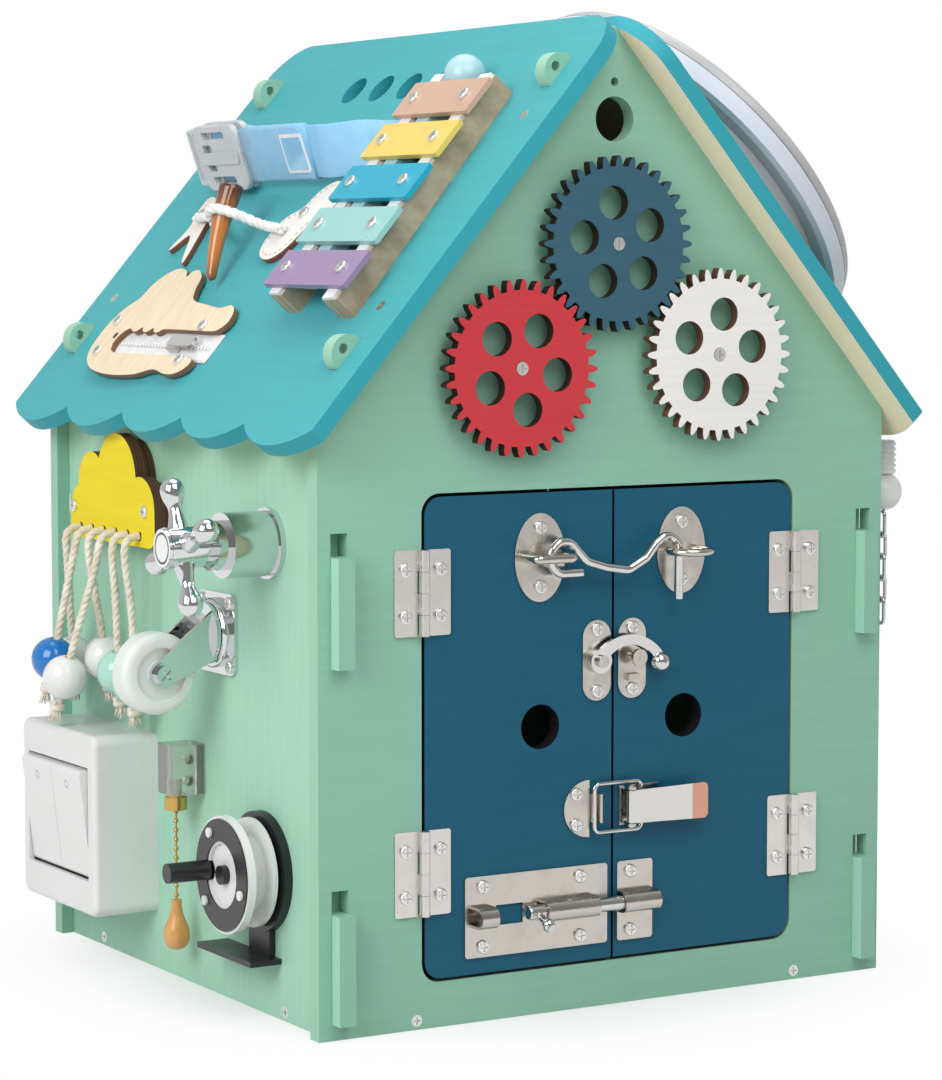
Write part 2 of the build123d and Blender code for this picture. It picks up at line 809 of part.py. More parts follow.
for side_name, plate_x in (("left", swing_left_x), ("right", swing_right_x)):
    with BuildPart() as swing_plate:
        with BuildSketch(front_at(plate_x, swing_z)) as plate_profile:
            SlotOverall(swing_plate_height, swing_plate_width, rotation=90)
            with Locations(*[(0, up * swing_screw_rise) for up in (-1, 1)]):
                Circle(plate_shank_radius, mode=Mode.SUBTRACT)
        extrude(amount=latch_plate)
        if side_name == "left":
            with Locations(front_at(plate_x, swing_z)):
                Cylinder(arm_pin_radius, arm_off + 2 * arm_thickness, align=standing)
            with Locations(front_at(plate_x, swing_z)):
                Cylinder(arm_boss_radius, arm_off - fit_gap, align=standing)
            with Locations(front_at(plate_x, swing_z, arm_off + arm_thickness + fit_gap)):
                Cylinder(arm_boss_radius / 2, arm_thickness, align=standing)
        else:
            with Locations(front_at(plate_x, swing_z + stud_rise)):
                Cylinder(stud_neck_radius, stud_neck_off, align=standing)
            with Locations(front_at(plate_x, swing_z + stud_rise, stud_neck_off)):
                Cylinder(stud_head_radius, stud_head, align=standing)
            with Locations(front_at(plate_x, swing_z - swing_tab_drop)):
                Box(swing_tab_width, swing_tab_height, swing_tab_reach, align=standing)
    swing_plate.part.label = "swing_plate_" + side_name
    export_step(swing_plate.part, "parts/swing_plate_" + side_name + ".step")

with BuildPart() as swing_arm:
    with BuildSketch(front_at(0, swing_z, arm_off)) as arm_profile:
        with Locations((swing_left_x, 0)):
            Circle(arm_boss_radius)
        with BuildLine():
            ThreePointArc(
                (swing_left_x - arm_boss_radius / 2, arm_boss_radius / 2),
                (swing_right_x, arm_arch_top),
                (arm_ball_x + arm_ball_radius / 2, arm_ball_z + arm_ball_radius / 2),
            )
            Line(
                (arm_ball_x + arm_ball_radius / 2, arm_ball_z + arm_ball_radius / 2),
                (arm_ball_x - arm_ball_radius / 2, arm_ball_z),
            )
            ThreePointArc(
                (arm_ball_x - arm_ball_radius / 2, arm_ball_z),
                (swing_right_x, arm_arch_foot),
                (swing_left_x + arm_boss_radius / 2, 0),
            )
            Line(
                (swing_left_x + arm_boss_radius / 2, 0),
                (swing_left_x - arm_boss_radius / 2, arm_boss_radius / 2),
            )
        make_face()
    extrude(amount=arm_thickness)
    with Locations(front_at(arm_ball_x, swing_z + arm_ball_z, arm_off + arm_thickness / 2)):
        Sphere(arm_ball_radius)
    with Locations(front_at(arm_ball_x, swing_z + arm_ball_z, latch_plate + seat_gap)):
        Cylinder(arm_ball_radius, 2 * arm_ball_radius, align=hanging, mode=Mode.SUBTRACT)
    with Locations(front_at(swing_left_x, swing_z, arm_off)):
        Cylinder(
            arm_pin_radius + running_gap, arm_thickness, align=standing, mode=Mode.SUBTRACT
        )
swing_arm.part.label = "swing_arm"
export_step(swing_arm.part, "parts/swing_arm.step")

# Draw latch: the bail hooks over the strike's lip, and the lever on the base plate pulls it tight
strike_left = -26.3
strike_right = -13.0
strike_height = 25.8
lip_left = -9.3
lip_thickness = 1.2
lip_off = 4.6
lip_height = 13.0
bail_left = -11.5
bail_half_height = 11.0
bail_wire = 0.9
bail_off = 3.2
lever_right = 47.0
lever_off = 6.6
lever_sheet = 1.2
lever_root_width = 14.8
lever_end_width = 16.5
lever_corner = 2.5
draw_pin_x = 6.5
draw_pin_off = 6.0
draw_barrel_radius = 2.2
draw_pin_radius = 1.1
ear_middle = 8.4
ear_thickness = 1.2
base_half_height = 9.0
bail_pivot_x = 13.5
flange_middle = 6.4

with BuildPart() as draw_strike:
    with BuildSketch(front_at(0, draw_z)) as strike_profile:
        with BuildLine():
            ThreePointArc(
                (strike_right, strike_height / 2), (strike_left, 0), (strike_right, -strike_height / 2)
            )
            Line((strike_right, -strike_height / 2), (strike_right, strike_height / 2))
        make_face()
        with Locations(((strike_right + lip_left + lip_thickness) / 2, 0)):
            Rectangle(lip_left + lip_thickness - strike_right, lip_height)
        with Locations(*[(strike_screw_x, up * strike_screw_rise) for up in (-1, 1)]):
            Circle(plate_shank_radius, mode=Mode.SUBTRACT)
    extrude(amount=latch_plate)
    with Locations(front_at(lip_left + lip_thickness / 2, draw_z)):
        Box(lip_thickness, lip_height, lip_off, align=standing)
draw_strike.part.label = "draw_strike"
export_step(draw_strike.part, "parts/draw_strike.step")

pin_axis = Plane(origin=(draw_pin_x, -front_face - draw_pin_off, draw_z))
with BuildPart() as draw_base:
    with BuildSketch(front_at((draw_base_left + draw_base_right) / 2, draw_z)) as base_profile:
        Rectangle(draw_base_right - draw_base_left, 2 * base_half_height)
    extrude(amount=latch_plate)
    for up in (-1, 1):
        with BuildSketch(
            Plane(origin=(draw_pin_x, -front_face, draw_z + up * ear_middle - ear_thickness / 2))
        ) as ear_profile:
            with Locations((0, -draw_pin_off / 2)):
                Rectangle(2 * draw_barrel_radius, draw_pin_off)
            with Locations((0, -draw_pin_off)):
                Circle(draw_barrel_radius)
        extrude(amount=ear_thickness)
    with Locations(pin_axis):
        Cylinder(draw_pin_radius, 2 * (ear_middle + ear_thickness))
draw_base.part.label = "draw_base"
export_step(draw_base.part, "parts/draw_base.step")

# The lever is a sheet with two flanges that hold the bail's ends, and a barrel round the fixed pin
with BuildPart() as draw_lever:
    with BuildSketch(front_at(0, draw_z, lever_off)) as lever_profile:
        with BuildLine():
            Polyline(
                (draw_pin_x, -lever_root_width / 2),
                (lever_right, -lever_end_width / 2),
                (lever_right, lever_end_width / 2),
                (draw_pin_x, lever_root_width / 2),
                close=True,
            )
        make_face()
        fillet(lever_profile.vertices().group_by(Axis.X)[-1], lever_corner)
    extrude(amount=lever_sheet)
    for up in (-1, 1):
        with BuildSketch(
            Plane(
                origin=(
                    bail_pivot_x,
                    -front_face - bail_off,
                    draw_z + up * flange_middle - lever_sheet / 2,
                )
            )
        ) as flange_profile:
            Circle(2 * bail_wire)
            with Locations((0, -(lever_off - bail_off) / 2)):
                Rectangle(4 * bail_wire, lever_off - bail_off)
        extrude(amount=lever_sheet)
    with Locations(pin_axis):
        Cylinder(draw_barrel_radius, 2 * (ear_middle - ear_thickness))
        Cylinder(draw_pin_radius + running_gap, 2 * ear_middle, mode=Mode.SUBTRACT)
    with Locations(Plane(origin=(bail_pivot_x, -front_face - bail_off, draw_z))):
        Cylinder(bail_wire + running_gap, 2 * ear_middle, mode=Mode.SUBTRACT)
draw_lever.part.label = "draw_lever"
export_step(draw_lever.part, "parts/draw_lever.step")

with BuildPart() as draw_bail:
    with BuildLine(front_at(0, draw_z, bail_off)) as bail_path:
        FilletPolyline(
            (bail_pivot_x, flange_middle - lever_sheet),
            (bail_pivot_x, bail_half_height),
            (bail_left, bail_half_height),
            (bail_left, -bail_half_height),
            (bail_pivot_x, -bail_half_height),
            (bail_pivot_x, -flange_middle + lever_sheet),
            radius=3 * bail_wire,
        )
    with BuildSketch(Plane(bail_path.line @ 0, z_dir=bail_path.line % 0)) as bail_section:
        Circle(bail_wire)
    sweep()
draw_bail.part.label = "draw_bail"
export_step(draw_bail.part, "parts/draw_bail.step")

# Barrel bolt: a plate with two raised straps, a round rod with its knob, and a keeper
bolt_rod_radius = 3.3
bolt_rod_off = 4.8
bolt_rod_left = -47.5
bolt_rod_right = 16.0
strap_bore_radius = 3.6
strap_outer_radius = 4.8
strap_outer_span = ((-73.5, -64.7), (-39.0, -11.5))
bolt_window = (-62.0, -48.0)
bolt_window_height = 9.0
bolt_plate_corner = 1.5
knob_x = -43.0
knob_radius = 3.0
knob_neck_radius = 1.9
knob_length = 14.0
knob_tilt = 21.5


def tunnel(left, right):
    """A half-round tunnel over the rod, standing on the plate between two x places."""
    length = right - left
    with BuildPart() as shell:
        with Locations(Location(((left + right) / 2, 0, bolt_rod_off), (0, 90, 0))):
            Cylinder(strap_outer_radius, length)
        with Locations(Location(((left + right) / 2, 0, 0))):
            Box(length, 2 * strap_outer_radius, bolt_rod_off, align=standing)
        with Locations(Location(((left + right) / 2, 0, bolt_rod_off), (0, 90, 0))):
            Cylinder(strap_bore_radius, length + overrun, mode=Mode.SUBTRACT)
        with Locations(Location(((left + right) / 2, 0, 0))):
            Box(
                length + overrun,
                2 * strap_bore_radius,
                bolt_rod_off,
                align=standing,
                mode=Mode.SUBTRACT,
            )
    return shell.part


with BuildPart() as bolt_plate:
    with BuildSketch(front_at((bolt_plate_left + bolt_plate_right) / 2, bolt_z)) as plate_profile:
        RectangleRounded(bolt_plate_right - bolt_plate_left, bolt_plate_height, bolt_plate_corner)
    extrude(amount=latch_plate)
    with Locations(*[front_at(x, bolt_z + up * bolt_screw_rise) for x in bolt_screws_x for up in (-1, 1)]):
        Cylinder(plate_shank_radius, 4 * latch_plate, mode=Mode.SUBTRACT)
    with Locations(front_at(sum(bolt_window) / 2, bolt_z)):
        Box(
            bolt_window[1] - bolt_window[0],
            bolt_window_height,
            4 * latch_plate,
            mode=Mode.SUBTRACT,
        )
    for left, right in strap_outer_span:
        add(placed(tunnel(left, right), [front_at(0, bolt_z)]))
bolt_plate.part.label = "bolt_plate"
export_step(bolt_plate.part, "parts/bolt_plate.step")

with BuildPart() as bolt_keeper:
    with BuildSketch(front_at((keeper_left + keeper_right) / 2, bolt_z)) as plate_profile:
        RectangleRounded(keeper_right - keeper_left, bolt_plate_height, bolt_plate_corner)
    extrude(amount=latch_plate)
    with Locations(*[front_at(keeper_screw_x, bolt_z + up * bolt_screw_rise) for up in (-1, 1)]):
        Cylinder(plate_shank_radius, 4 * latch_plate, mode=Mode.SUBTRACT)
    add(placed(tunnel(keeper_left, keeper_right), [front_at(0, bolt_z)]))
bolt_keeper.part.label = "bolt_keeper"
export_step(bolt_keeper.part, "parts/bolt_keeper.step")

with BuildPart() as bolt_rod:
    with Locations(
        front_at((bolt_rod_left + bolt_rod_right) / 2, bolt_z, bolt_rod_off)
        * Location((0, 0, 0), (0, 90, 0))
    ):
        Cylinder(bolt_rod_radius, bolt_rod_right - bolt_rod_left)
    fillet(bolt_rod.edges().filter_by(GeomType.CIRCLE), bolt_rod_radius / 4)
    with Locations(front_at(knob_x, bolt_z, bolt_rod_off) * Location((0, 0, 0), (knob_tilt, 0, 0))):
        Cylinder(knob_neck_radius, knob_length, align=standing)
    with Locations(
        front_at(knob_x, bolt_z, bolt_rod_off)
        * Location((0, 0, 0), (knob_tilt, 0, 0))
        * Location((0, 0, knob_length - knob_radius))
    ):
        Sphere(knob_radius)
bolt_rod.part.label = "bolt_rod"
export_step(bolt_rod.part, "parts/bolt_rod.step")

# Water tap on the left wall: a fixed body, and a handle with four waisted arms
tap_y = -83.5
tap_z = 211.5
tap_ring_radius = 15.8
tap_ring_height = 2.5
tap_body_radius = 14.5
tap_body_height = 24.0
tap_flange_radius = 11.0
tap_flange_height = 6.0
tap_neck_radius = 6.5
tap_neck_top = 34.0
tap_stem_radius = 3.0
tap_hub_radius = 9.0
tap_hub_top = 51.0
tap_arm_off = 43.0
tap_arm_reach = 31.3
tap_ball_radius = 5.4
tap_waist_radius = 3.2
tap_root_radius = 4.6
tap_arm_phase = 20.0
tap_index_radius = 8.5
tap_index_height = 1.5
tap_arm_count = 4

with BuildPart() as tap_base:
    with Locations(left_at(tap_y, tap_z)):
        Cylinder(tap_ring_radius, tap_ring_height, align=standing)
        Cylinder(tap_body_radius, tap_body_height, align=standing)
        Cylinder(tap_flange_radius, tap_body_height + tap_flange_height, align=standing)
        Cylinder(tap_neck_radius, tap_neck_top, align=standing)
        Cylinder(tap_stem_radius, tap_hub_top - tap_neck_radius, align=standing)
tap_base.part.label = "tap_base"
export_step(tap_base.part, "parts/tap_base.step")


def tap_arm_profile():
    """Half section of one arm along local X, from the hub's middle to the ball's tip."""
    ball_x = tap_arm_reach - tap_ball_radius
    waist_x = (tap_hub_radius + ball_x) / 2
    with BuildSketch() as profile:
        with BuildLine():
            Line((0, 0), (0, tap_root_radius))
            Spline(
                (0, tap_root_radius),
                (tap_hub_radius, tap_root_radius),
                (waist_x, tap_waist_radius),
                (ball_x, tap_ball_radius),
                tangents=((1, 0), (1, 0)),
            )
            RadiusArc((ball_x, tap_ball_radius), (tap_arm_reach, 0), tap_ball_radius)
            Line((tap_arm_reach, 0), (0, 0))
        make_face()
    return profile.sketch


tap_profile = tap_arm_profile()
with BuildPart() as tap_arm:
    add(tap_profile)
    revolve(axis=Axis.X)

with BuildPart() as tap_handle:
    with Locations(left_at(tap_y, tap_z, tap_neck_top + fit_gap)):
        Cylinder(tap_hub_radius, tap_hub_top - tap_neck_top - fit_gap, align=standing)
    with Locations(left_at(tap_y, tap_z, tap_hub_top)):
        Cylinder(tap_index_radius, tap_index_height, align=standing)
    arm_planes = [
        Plane(
            left_at(tap_y, tap_z, tap_arm_off)
            * Location((0, 0, 0), (0, 0, tap_arm_phase + number * 360 / tap_arm_count))
        )
        for number in range(tap_arm_count)
    ]
    add(placed(tap_arm.part, arm_planes))
    with Locations(left_at(tap_y, tap_z, tap_neck_top)):
        Cylinder(
            tap_stem_radius + running_gap,
            tap_hub_top - tap_neck_radius - tap_neck_top + fit_gap,
            align=standing,
            mode=Mode.SUBTRACT,
        )
tap_handle.part.label = "tap_handle"
export_step(tap_handle.part, "parts/tap_handle.step")

# Swivel caster: a screwed plate with a raised race, a turning fork with its axle, and a wheel
caster_race_radius = 16.0
caster_race_height = 4.0
caster_stud_radius = 3.0
caster_stud_height = 8.0
caster_corner = 5.0
caster_fork_off = 6.3
caster_crown = 2.0
caster_crown_radius = 14.0
caster_trail = 16.4
caster_axle_off = 33.0
caster_axle_radius = 2.5
caster_wheel_radius = 18.6
caster_wheel_width = 15.0
caster_wheel_round = 4.0
caster_cheek = 1.8
caster_cheek_radius = 6.0
caster_cheek_root = 11.0
caster_washer_radius = 5.4
caster_washer = 0.8
caster_head_radius = 4.4
caster_head = 2.4
caster_hub_radius = 6.4
caster_web_radius = 12.0
caster_web_depth = 1.8

with BuildPart() as caster_plate_body:
    with BuildSketch(left_at(caster_y, caster_z)) as plate_profile:
        RectangleRounded(caster_plate_size, caster_plate_size, caster_corner)
        with Locations(
            *[
                (along_y * caster_screw, up * caster_screw)
                for along_y in (-1, 1)
                for up in (-1, 1)
            ]
        ):
            Circle(plate_shank_radius, mode=Mode.SUBTRACT)
    extrude(amount=caster_plate)
    with Locations(left_at(caster_y, caster_z)):
        Cylinder(caster_race_radius, caster_plate + caster_race_height, align=standing)
    race_top = caster_plate_body.edges().filter_by(GeomType.CIRCLE).sort_by(Axis.X)[0]
    fillet(race_top, caster_race_height / 2)
    with Locations(left_at(caster_y, caster_z)):
        Cylinder(
            caster_stud_radius,
            caster_plate + caster_race_height + caster_stud_height / 2,
            align=standing,
        )
caster_plate_body.part.label = "caster_plate"
export_step(caster_plate_body.part, "parts/caster_plate.step")

cheek_share = 0.64
cheek_inner = caster_wheel_width / 2 + seat_gap
cheek_lean = caster_cheek_radius * sqrt(1 - cheek_share**2)
with BuildPart() as caster_fork:
    with Locations(left_at(caster_y, caster_z, caster_fork_off)):
        Cylinder(caster_crown_radius, caster_crown, align=standing)
        Cylinder(
            caster_stud_radius + running_gap, caster_crown, align=standing, mode=Mode.SUBTRACT
        )
    for end in (-1, 1):
        cheek_y = caster_y + end * (cheek_inner + caster_cheek / 2)
        cheek_plane = Plane(
            origin=(-wall_face, cheek_y + caster_cheek / 2, caster_z), x_dir=(-1, 0, 0), z_dir=(0, -1, 0)
        )
        with BuildSketch(cheek_plane) as cheek_profile:
            with BuildLine():
                Polyline(
                    (caster_fork_off, -caster_cheek_root),
                    (caster_fork_off + caster_crown, -caster_cheek_root),
                    (caster_axle_off + caster_cheek_radius * cheek_share, caster_trail - cheek_lean),
                    (caster_axle_off - caster_cheek_radius * cheek_share, caster_trail + cheek_lean),
                    (caster_fork_off, caster_cheek_root),
                    close=True,
                )
            make_face()
            with Locations((caster_axle_off, caster_trail)):
                Circle(caster_cheek_radius)
        extrude(amount=caster_cheek)
    with Locations(Location((-wall_face - caster_axle_off, caster_y, caster_z - caster_trail), (90, 0, 0))):
        cheek_outer = cheek_inner + caster_cheek
        Cylinder(caster_axle_radius, 2 * cheek_outer)
        for end in (-1, 1):
            with Locations((0, 0, end * (cheek_outer + caster_washer / 2))):
                Cylinder(caster_washer_radius, caster_washer)
            with Locations((0, 0, end * (cheek_outer + caster_washer + caster_head / 2))):
                Cylinder(caster_head_radius, caster_head)
        for turn in (45, 135):
            with Locations(Location((0, 0, cheek_outer + caster_washer + caster_head), (0, 0, turn))):
                Box(
                    caster_head_radius * cross_length_share,
                    cross_width,
                    caster_head * cross_depth_share,
                    align=hanging,
                    mode=Mode.SUBTRACT,
                )
caster_fork.part.label = "caster_fork"
export_step(caster_fork.part, "parts/caster_fork.step")

with BuildPart() as caster_wheel:
    with Locations(Location((-wall_face - caster_axle_off, caster_y, caster_z - caster_trail), (90, 0, 0))):
        Cylinder(caster_wheel_radius, caster_wheel_width)
        fillet(caster_wheel.edges().filter_by(GeomType.CIRCLE), caster_wheel_round)
        for end in (-1, 1):
            with Locations((0, 0, end * (caster_wheel_width - caster_web_depth) / 2)):
                Cylinder(caster_web_radius, caster_web_depth, mode=Mode.SUBTRACT)
                Cylinder(caster_hub_radius, caster_web_depth)
        Cylinder(caster_axle_radius + running_gap, caster_wheel_width, mode=Mode.SUBTRACT)
caster_wheel.part.label = "caster_wheel"
export_step(caster_wheel.part, "parts/caster_wheel.step")

# Rocker switch: an open-backed box on the wall and two rockers on one pin
switch_rear = 117.0
switch_front = 33.0
switch_bottom = 27.0
switch_top = 113.0
switch_depth = 33.0
switch_wall = 2.5
switch_corner = 5.0
rocker_width = 33.6
rocker_half_height = 26.0
rocker_middle_z = 70.5
rocker_middle_y = 75.0
rocker_pivot_off = 28.0
rocker_face = 6.0
rocker_back = 5.0
rocker_tilt = 7.0
rocker_gap = 0.4
rocker_clear = 1.0
rocker_pin_radius = 1.5
rocker_corner = 2.0

switch_middle_y = (switch_rear + switch_front) / 2
switch_middle_z = (switch_bottom + switch_top) / 2
with BuildPart() as switch_box:
    with BuildSketch(left_at(switch_middle_y, switch_middle_z)) as box_profile:
        RectangleRounded(switch_rear - switch_front, switch_top - switch_bottom, switch_corner)
    extrude(amount=switch_depth)
    fillet(switch_box.faces().sort_by(Axis.X)[0].edges(), switch_wall)
    with Locations(left_at(switch_middle_y, switch_middle_z)):
        Box(
            switch_rear - switch_front - 2 * switch_wall,
            switch_top - switch_bottom - 2 * switch_wall,
            switch_depth - switch_wall,
            align=standing,
            mode=Mode.SUBTRACT,
        )
    with Locations(left_at(rocker_middle_y, rocker_middle_z)):
        Box(
            2 * (rocker_width + rocker_clear) + rocker_gap,
            2 * (rocker_half_height + rocker_clear),
            switch_depth,
            align=standing,
            mode=Mode.SUBTRACT,
        )
    with Locations(
        Location((-wall_face - rocker_pivot_off, switch_middle_y, rocker_middle_z), (90, 0, 0))
    ):
        Cylinder(rocker_pin_radius, switch_rear - switch_front - switch_wall)
switch_box.part.label = "switch_box"
export_step(switch_box.part, "parts/switch_box.step")

for rocker_name, side in (("switch_rocker_rear", 1), ("switch_rocker_front", -1)):
    rocker_y = rocker_middle_y + side * (rocker_width + rocker_gap) / 2
    rocker_plane = Plane(
        origin=(-wall_face - rocker_pivot_off, rocker_y + rocker_width / 2, rocker_middle_z),
        x_dir=(-1, 0, 0),
        z_dir=(0, -1, 0),
    )
    with BuildPart() as rocker:
        with BuildSketch(rocker_plane) as rocker_profile:
            with Locations(Location((0, 0, 0), (0, 0, rocker_tilt))):
                with Locations(((rocker_face - rocker_back) / 2, 0)):
                    Rectangle(rocker_face + rocker_back, 2 * rocker_half_height)
            Circle(rocker_pin_radius + running_gap, mode=Mode.SUBTRACT)
        extrude(amount=rocker_width)
        face_edges = rocker.faces().sort_by(Axis.X)[0].edges().filter_by(Axis.Y)
        fillet(face_edges, rocker_corner)
    rocker.part.label = rocker_name
    export_step(rocker.part, "parts/" + rocker_name + ".step")

# Pull switch: a clear housing with a brass collar, a ball chain and a wooden drop
pull_y = -10.0
pull_off = 11.4
pull_width = 17.0
pull_depth = 17.0
pull_bottom = 91.0
pull_top = 114.0
pull_corner = 2.0
pull_neck_radius = 4.2
collar_radius = 5.2
collar_bottom = 83.5
collar_top = 89.5
chain_bore_radius = 1.6
chain_bead_radius = 1.15
chain_wire_radius = 0.5
chain_pitch = 4.3
chain_top = 97.0
drop_top = 41.5
drop_bottom = 18.0
drop_radius = 6.0
drop_neck_radius = 2.4
socket_depth = 4.5
socket_radius = 2.4
socket_rise = 5.0


def upright(off, z):
    """Level plane under the pull switch at that height."""
    return Plane(origin=(-wall_face - off, pull_y, z))


with BuildPart() as pull_switch_housing:
    with Locations(upright(pull_depth / 2, pull_bottom)):
        Box(pull_depth, pull_width, pull_top - pull_bottom, align=standing)
    fillet(pull_switch_housing.edges().filter_by(Axis.Z), pull_corner)
    with Locations(upright(pull_off, collar_top)):
        Cylinder(pull_neck_radius, pull_bottom - collar_top, align=standing)
    with Locations(
        *[
            Plane(
                origin=(-wall_face - pull_depth / 2, pull_y - pull_width / 2, middle + up * socket_rise),
                z_dir=(0, -1, 0),
            )
            for middle in ((pull_bottom + pull_top) / 2,)
            for up in (-1, 1)
        ]
    ):
        Cylinder(socket_radius, socket_depth, align=hanging, mode=Mode.SUBTRACT)
    with Locations(upright(pull_off, collar_bottom)):
        Cylinder(collar_radius, collar_top - collar_bottom, align=standing)
    with Locations(upright(pull_off, collar_bottom)):
        Cylinder(
            chain_bore_radius,
            chain_top - collar_bottom + overrun,
            align=standing,
            mode=Mode.SUBTRACT,
        )
pull_switch_housing.part.label = "pull_switch_housing"
export_step(pull_switch_housing.part, "parts/pull_switch_housing.step")

chain_beads = int((chain_top - drop_top) / chain_pitch)
with BuildPart() as pull_chain:
    with Locations(upright(pull_off, drop_top)):
        Cylinder(chain_wire_radius, chain_top - drop_top, align=standing)
    with Locations(
        *[upright(pull_off, drop_top + (number + 0.5) * chain_pitch) for number in range(chain_beads)]
    ):
        Sphere(chain_bead_radius)
pull_chain.part.label = "pull_chain"
export_step(pull_chain.part, "parts/pull_chain.step")

with BuildPart() as pull_handle:
    with BuildSketch(
        Plane(origin=(-wall_face - pull_off, pull_y, drop_bottom), x_dir=(1, 0, 0), z_dir=(0, -1, 0))
    ) as drop_profile:
        with BuildLine():
            Line((0, drop_top - drop_bottom), (drop_neck_radius, drop_top - drop_bottom))
            Spline(
                (drop_neck_radius, drop_top - drop_bottom),
                (drop_radius, drop_radius * sqrt(2)),
                (0, 0),
                tangents=((0, -1), (-1, 0)),
            )
            Line((0, 0), (0, drop_top - drop_bottom))
        make_face()
    revolve(axis=Axis((-wall_face - pull_off, pull_y, 0), (0, 0, 1)))
pull_handle.part.label = "pull_handle"
export_step(pull_handle.part, "parts/pull_handle.step")

# Reel: a black cup and clear foot on the wall, and a spool that turns on the cup's axle
reel_cup_radius = 27.0
reel_cup_height = 4.0
reel_axle_radius = 4.3
reel_axle_top = 22.5
reel_back_off = 6.0
reel_flange_radius = 24.5
reel_flange = 2.0
reel_drum_radius = 17.0
reel_front_off = 17.5
reel_front_radius = 26.3
reel_front = 3.5
reel_ring_inner = 15.0
reel_ring_outer = 25.0
reel_ring = 0.8
reel_dish_radius = 14.0
reel_dish = 1.6
reel_peg_radius = 4.5
reel_peg_length = 20.0
reel_peg_along = -15.3
reel_rivet_radius = 2.2
reel_rivet_circle = 20.5
reel_rivet = 1.2
reel_rivet_angles = (121.0, -17.0, 222.0)
reel_foot_rear = -40.0
reel_foot_front = -93.0
reel_foot_bottom = 25.0
reel_foot_height = 2.5
reel_foot_depth = 15.6
reel_neck_width = 20.0
reel_neck = 3.0

with BuildPart() as reel_back:
    with Locations(left_at(reel_y, reel_z)):
        Cylinder(reel_cup_radius, reel_cup_height, align=standing)
        Cylinder(reel_axle_radius, reel_axle_top, align=standing)
    with Locations(left_at(reel_y, (reel_z + reel_foot_bottom) / 2)):
        Box(reel_neck_width, reel_z - reel_foot_bottom, reel_neck, align=standing)
    with Locations(left_at((reel_foot_rear + reel_foot_front) / 2, reel_foot_bottom + reel_foot_height / 2)):
        Box(reel_foot_rear - reel_foot_front, reel_foot_height, reel_foot_depth, align=standing)
reel_back.part.label = "reel_back"
export_step(reel_back.part, "parts/reel_back.step")

reel_face = reel_front_off + reel_front
with BuildPart() as reel_spool:
    with Locations(left_at(reel_y, reel_z, reel_back_off)):
        Cylinder(reel_flange_radius, reel_flange, align=standing)
        Cylinder(reel_drum_radius, reel_front_off - reel_back_off, align=standing)
    with Locations(left_at(reel_y, reel_z, reel_front_off)):
        Cylinder(reel_front_radius, reel_front, align=standing)
    with BuildSketch(left_at(reel_y, reel_z, reel_face)) as ring_profile:
        Circle(reel_ring_outer)
        Circle(reel_ring_inner, mode=Mode.SUBTRACT)
    extrude(amount=reel_ring)
    with Locations(left_at(reel_y, reel_z, reel_face - reel_dish)):
        Cylinder(reel_dish_radius, reel_front, align=standing, mode=Mode.SUBTRACT)
    with Locations(left_at(reel_y, reel_z)):
        Cylinder(reel_axle_radius + running_gap, reel_face, align=standing, mode=Mode.SUBTRACT)
    with Locations(
        *[
            left_at(reel_y, reel_z, reel_face)
            * Location((reel_rivet_circle * cos(radians(a)), reel_rivet_circle * sin(radians(a)), 0))
            for a in reel_rivet_angles
        ]
    ):
        Cylinder(reel_rivet_radius, reel_ring + reel_rivet, align=standing)
    with Locations(left_at(reel_y, reel_z, reel_face) * Location((reel_peg_along, 0, 0))):
        Cylinder(reel_peg_radius, reel_peg_length, align=standing)
reel_spool.part.label = "reel_spool"
export_step(reel_spool.part, "parts/reel_spool.step")

# Cloud plate on its spacer: the plate's top is three round lobes over a straight lower edge
cloud_rear = 103.2
cloud_front = 9.2
cloud_bottom = 202.0
cloud_lobes = ((79.0, 229.0, 15.0), (51.0, 232.5, 21.5), (25.0, 219.0, 15.8), (90.0, 215.0, 13.2))
cloud_body_top = 222.0
cloud_body_corner = 6.0
cloud_spacer_inset = 3.0
cloud_hole_diameter = 4.6
cloud_hole_z = 207.0
cloud_hole_first = 91.9
cloud_hole_pitch = 13.25
rope_count = 6

cloud_holes = [(cloud_hole_first - number * cloud_hole_pitch, cloud_hole_z) for number in range(rope_count)]


def cloud_outline(inset):
    """The cloud seen from outside the wall, drawn in by the inset."""
    with BuildSketch() as outline:
        with Locations((-(cloud_rear + cloud_front) / 2, (cloud_bottom + cloud_body_top) / 2)):
            RectangleRounded(
                cloud_rear - cloud_front - 2 * inset,
                cloud_body_top - cloud_bottom - 2 * inset,
                cloud_body_corner - inset,
            )
        for y, z, radius in cloud_lobes:
            with Locations((-y, z)):
                Circle(radius - inset)
        for y, z in cloud_screws:
            with Locations((-y, z)):
                Circle(plate_shank_radius, mode=Mode.SUBTRACT)
    return outline.sketch


with BuildPart() as cloud_plate:
    with BuildSketch(left_at(0, 0)) as spacer_profile:
        add(cloud_outline(cloud_spacer_inset))
    extrude(amount=cloud_spacer)
    with BuildSketch(left_at(0, 0, cloud_spacer)) as cloud_profile:
        add(cloud_outline(0))
    extrude(amount=cloud_board)
    for y, z in cloud_holes:
        with Locations(left_at(y, z, cloud_spacer + cloud_board)):
            Cylinder(cloud_hole_diameter / 2, cloud_board, align=hanging, mode=Mode.SUBTRACT)
cloud_plate.part.label = "cloud_plate"
export_step(cloud_plate.part, "parts/cloud_plate.step")

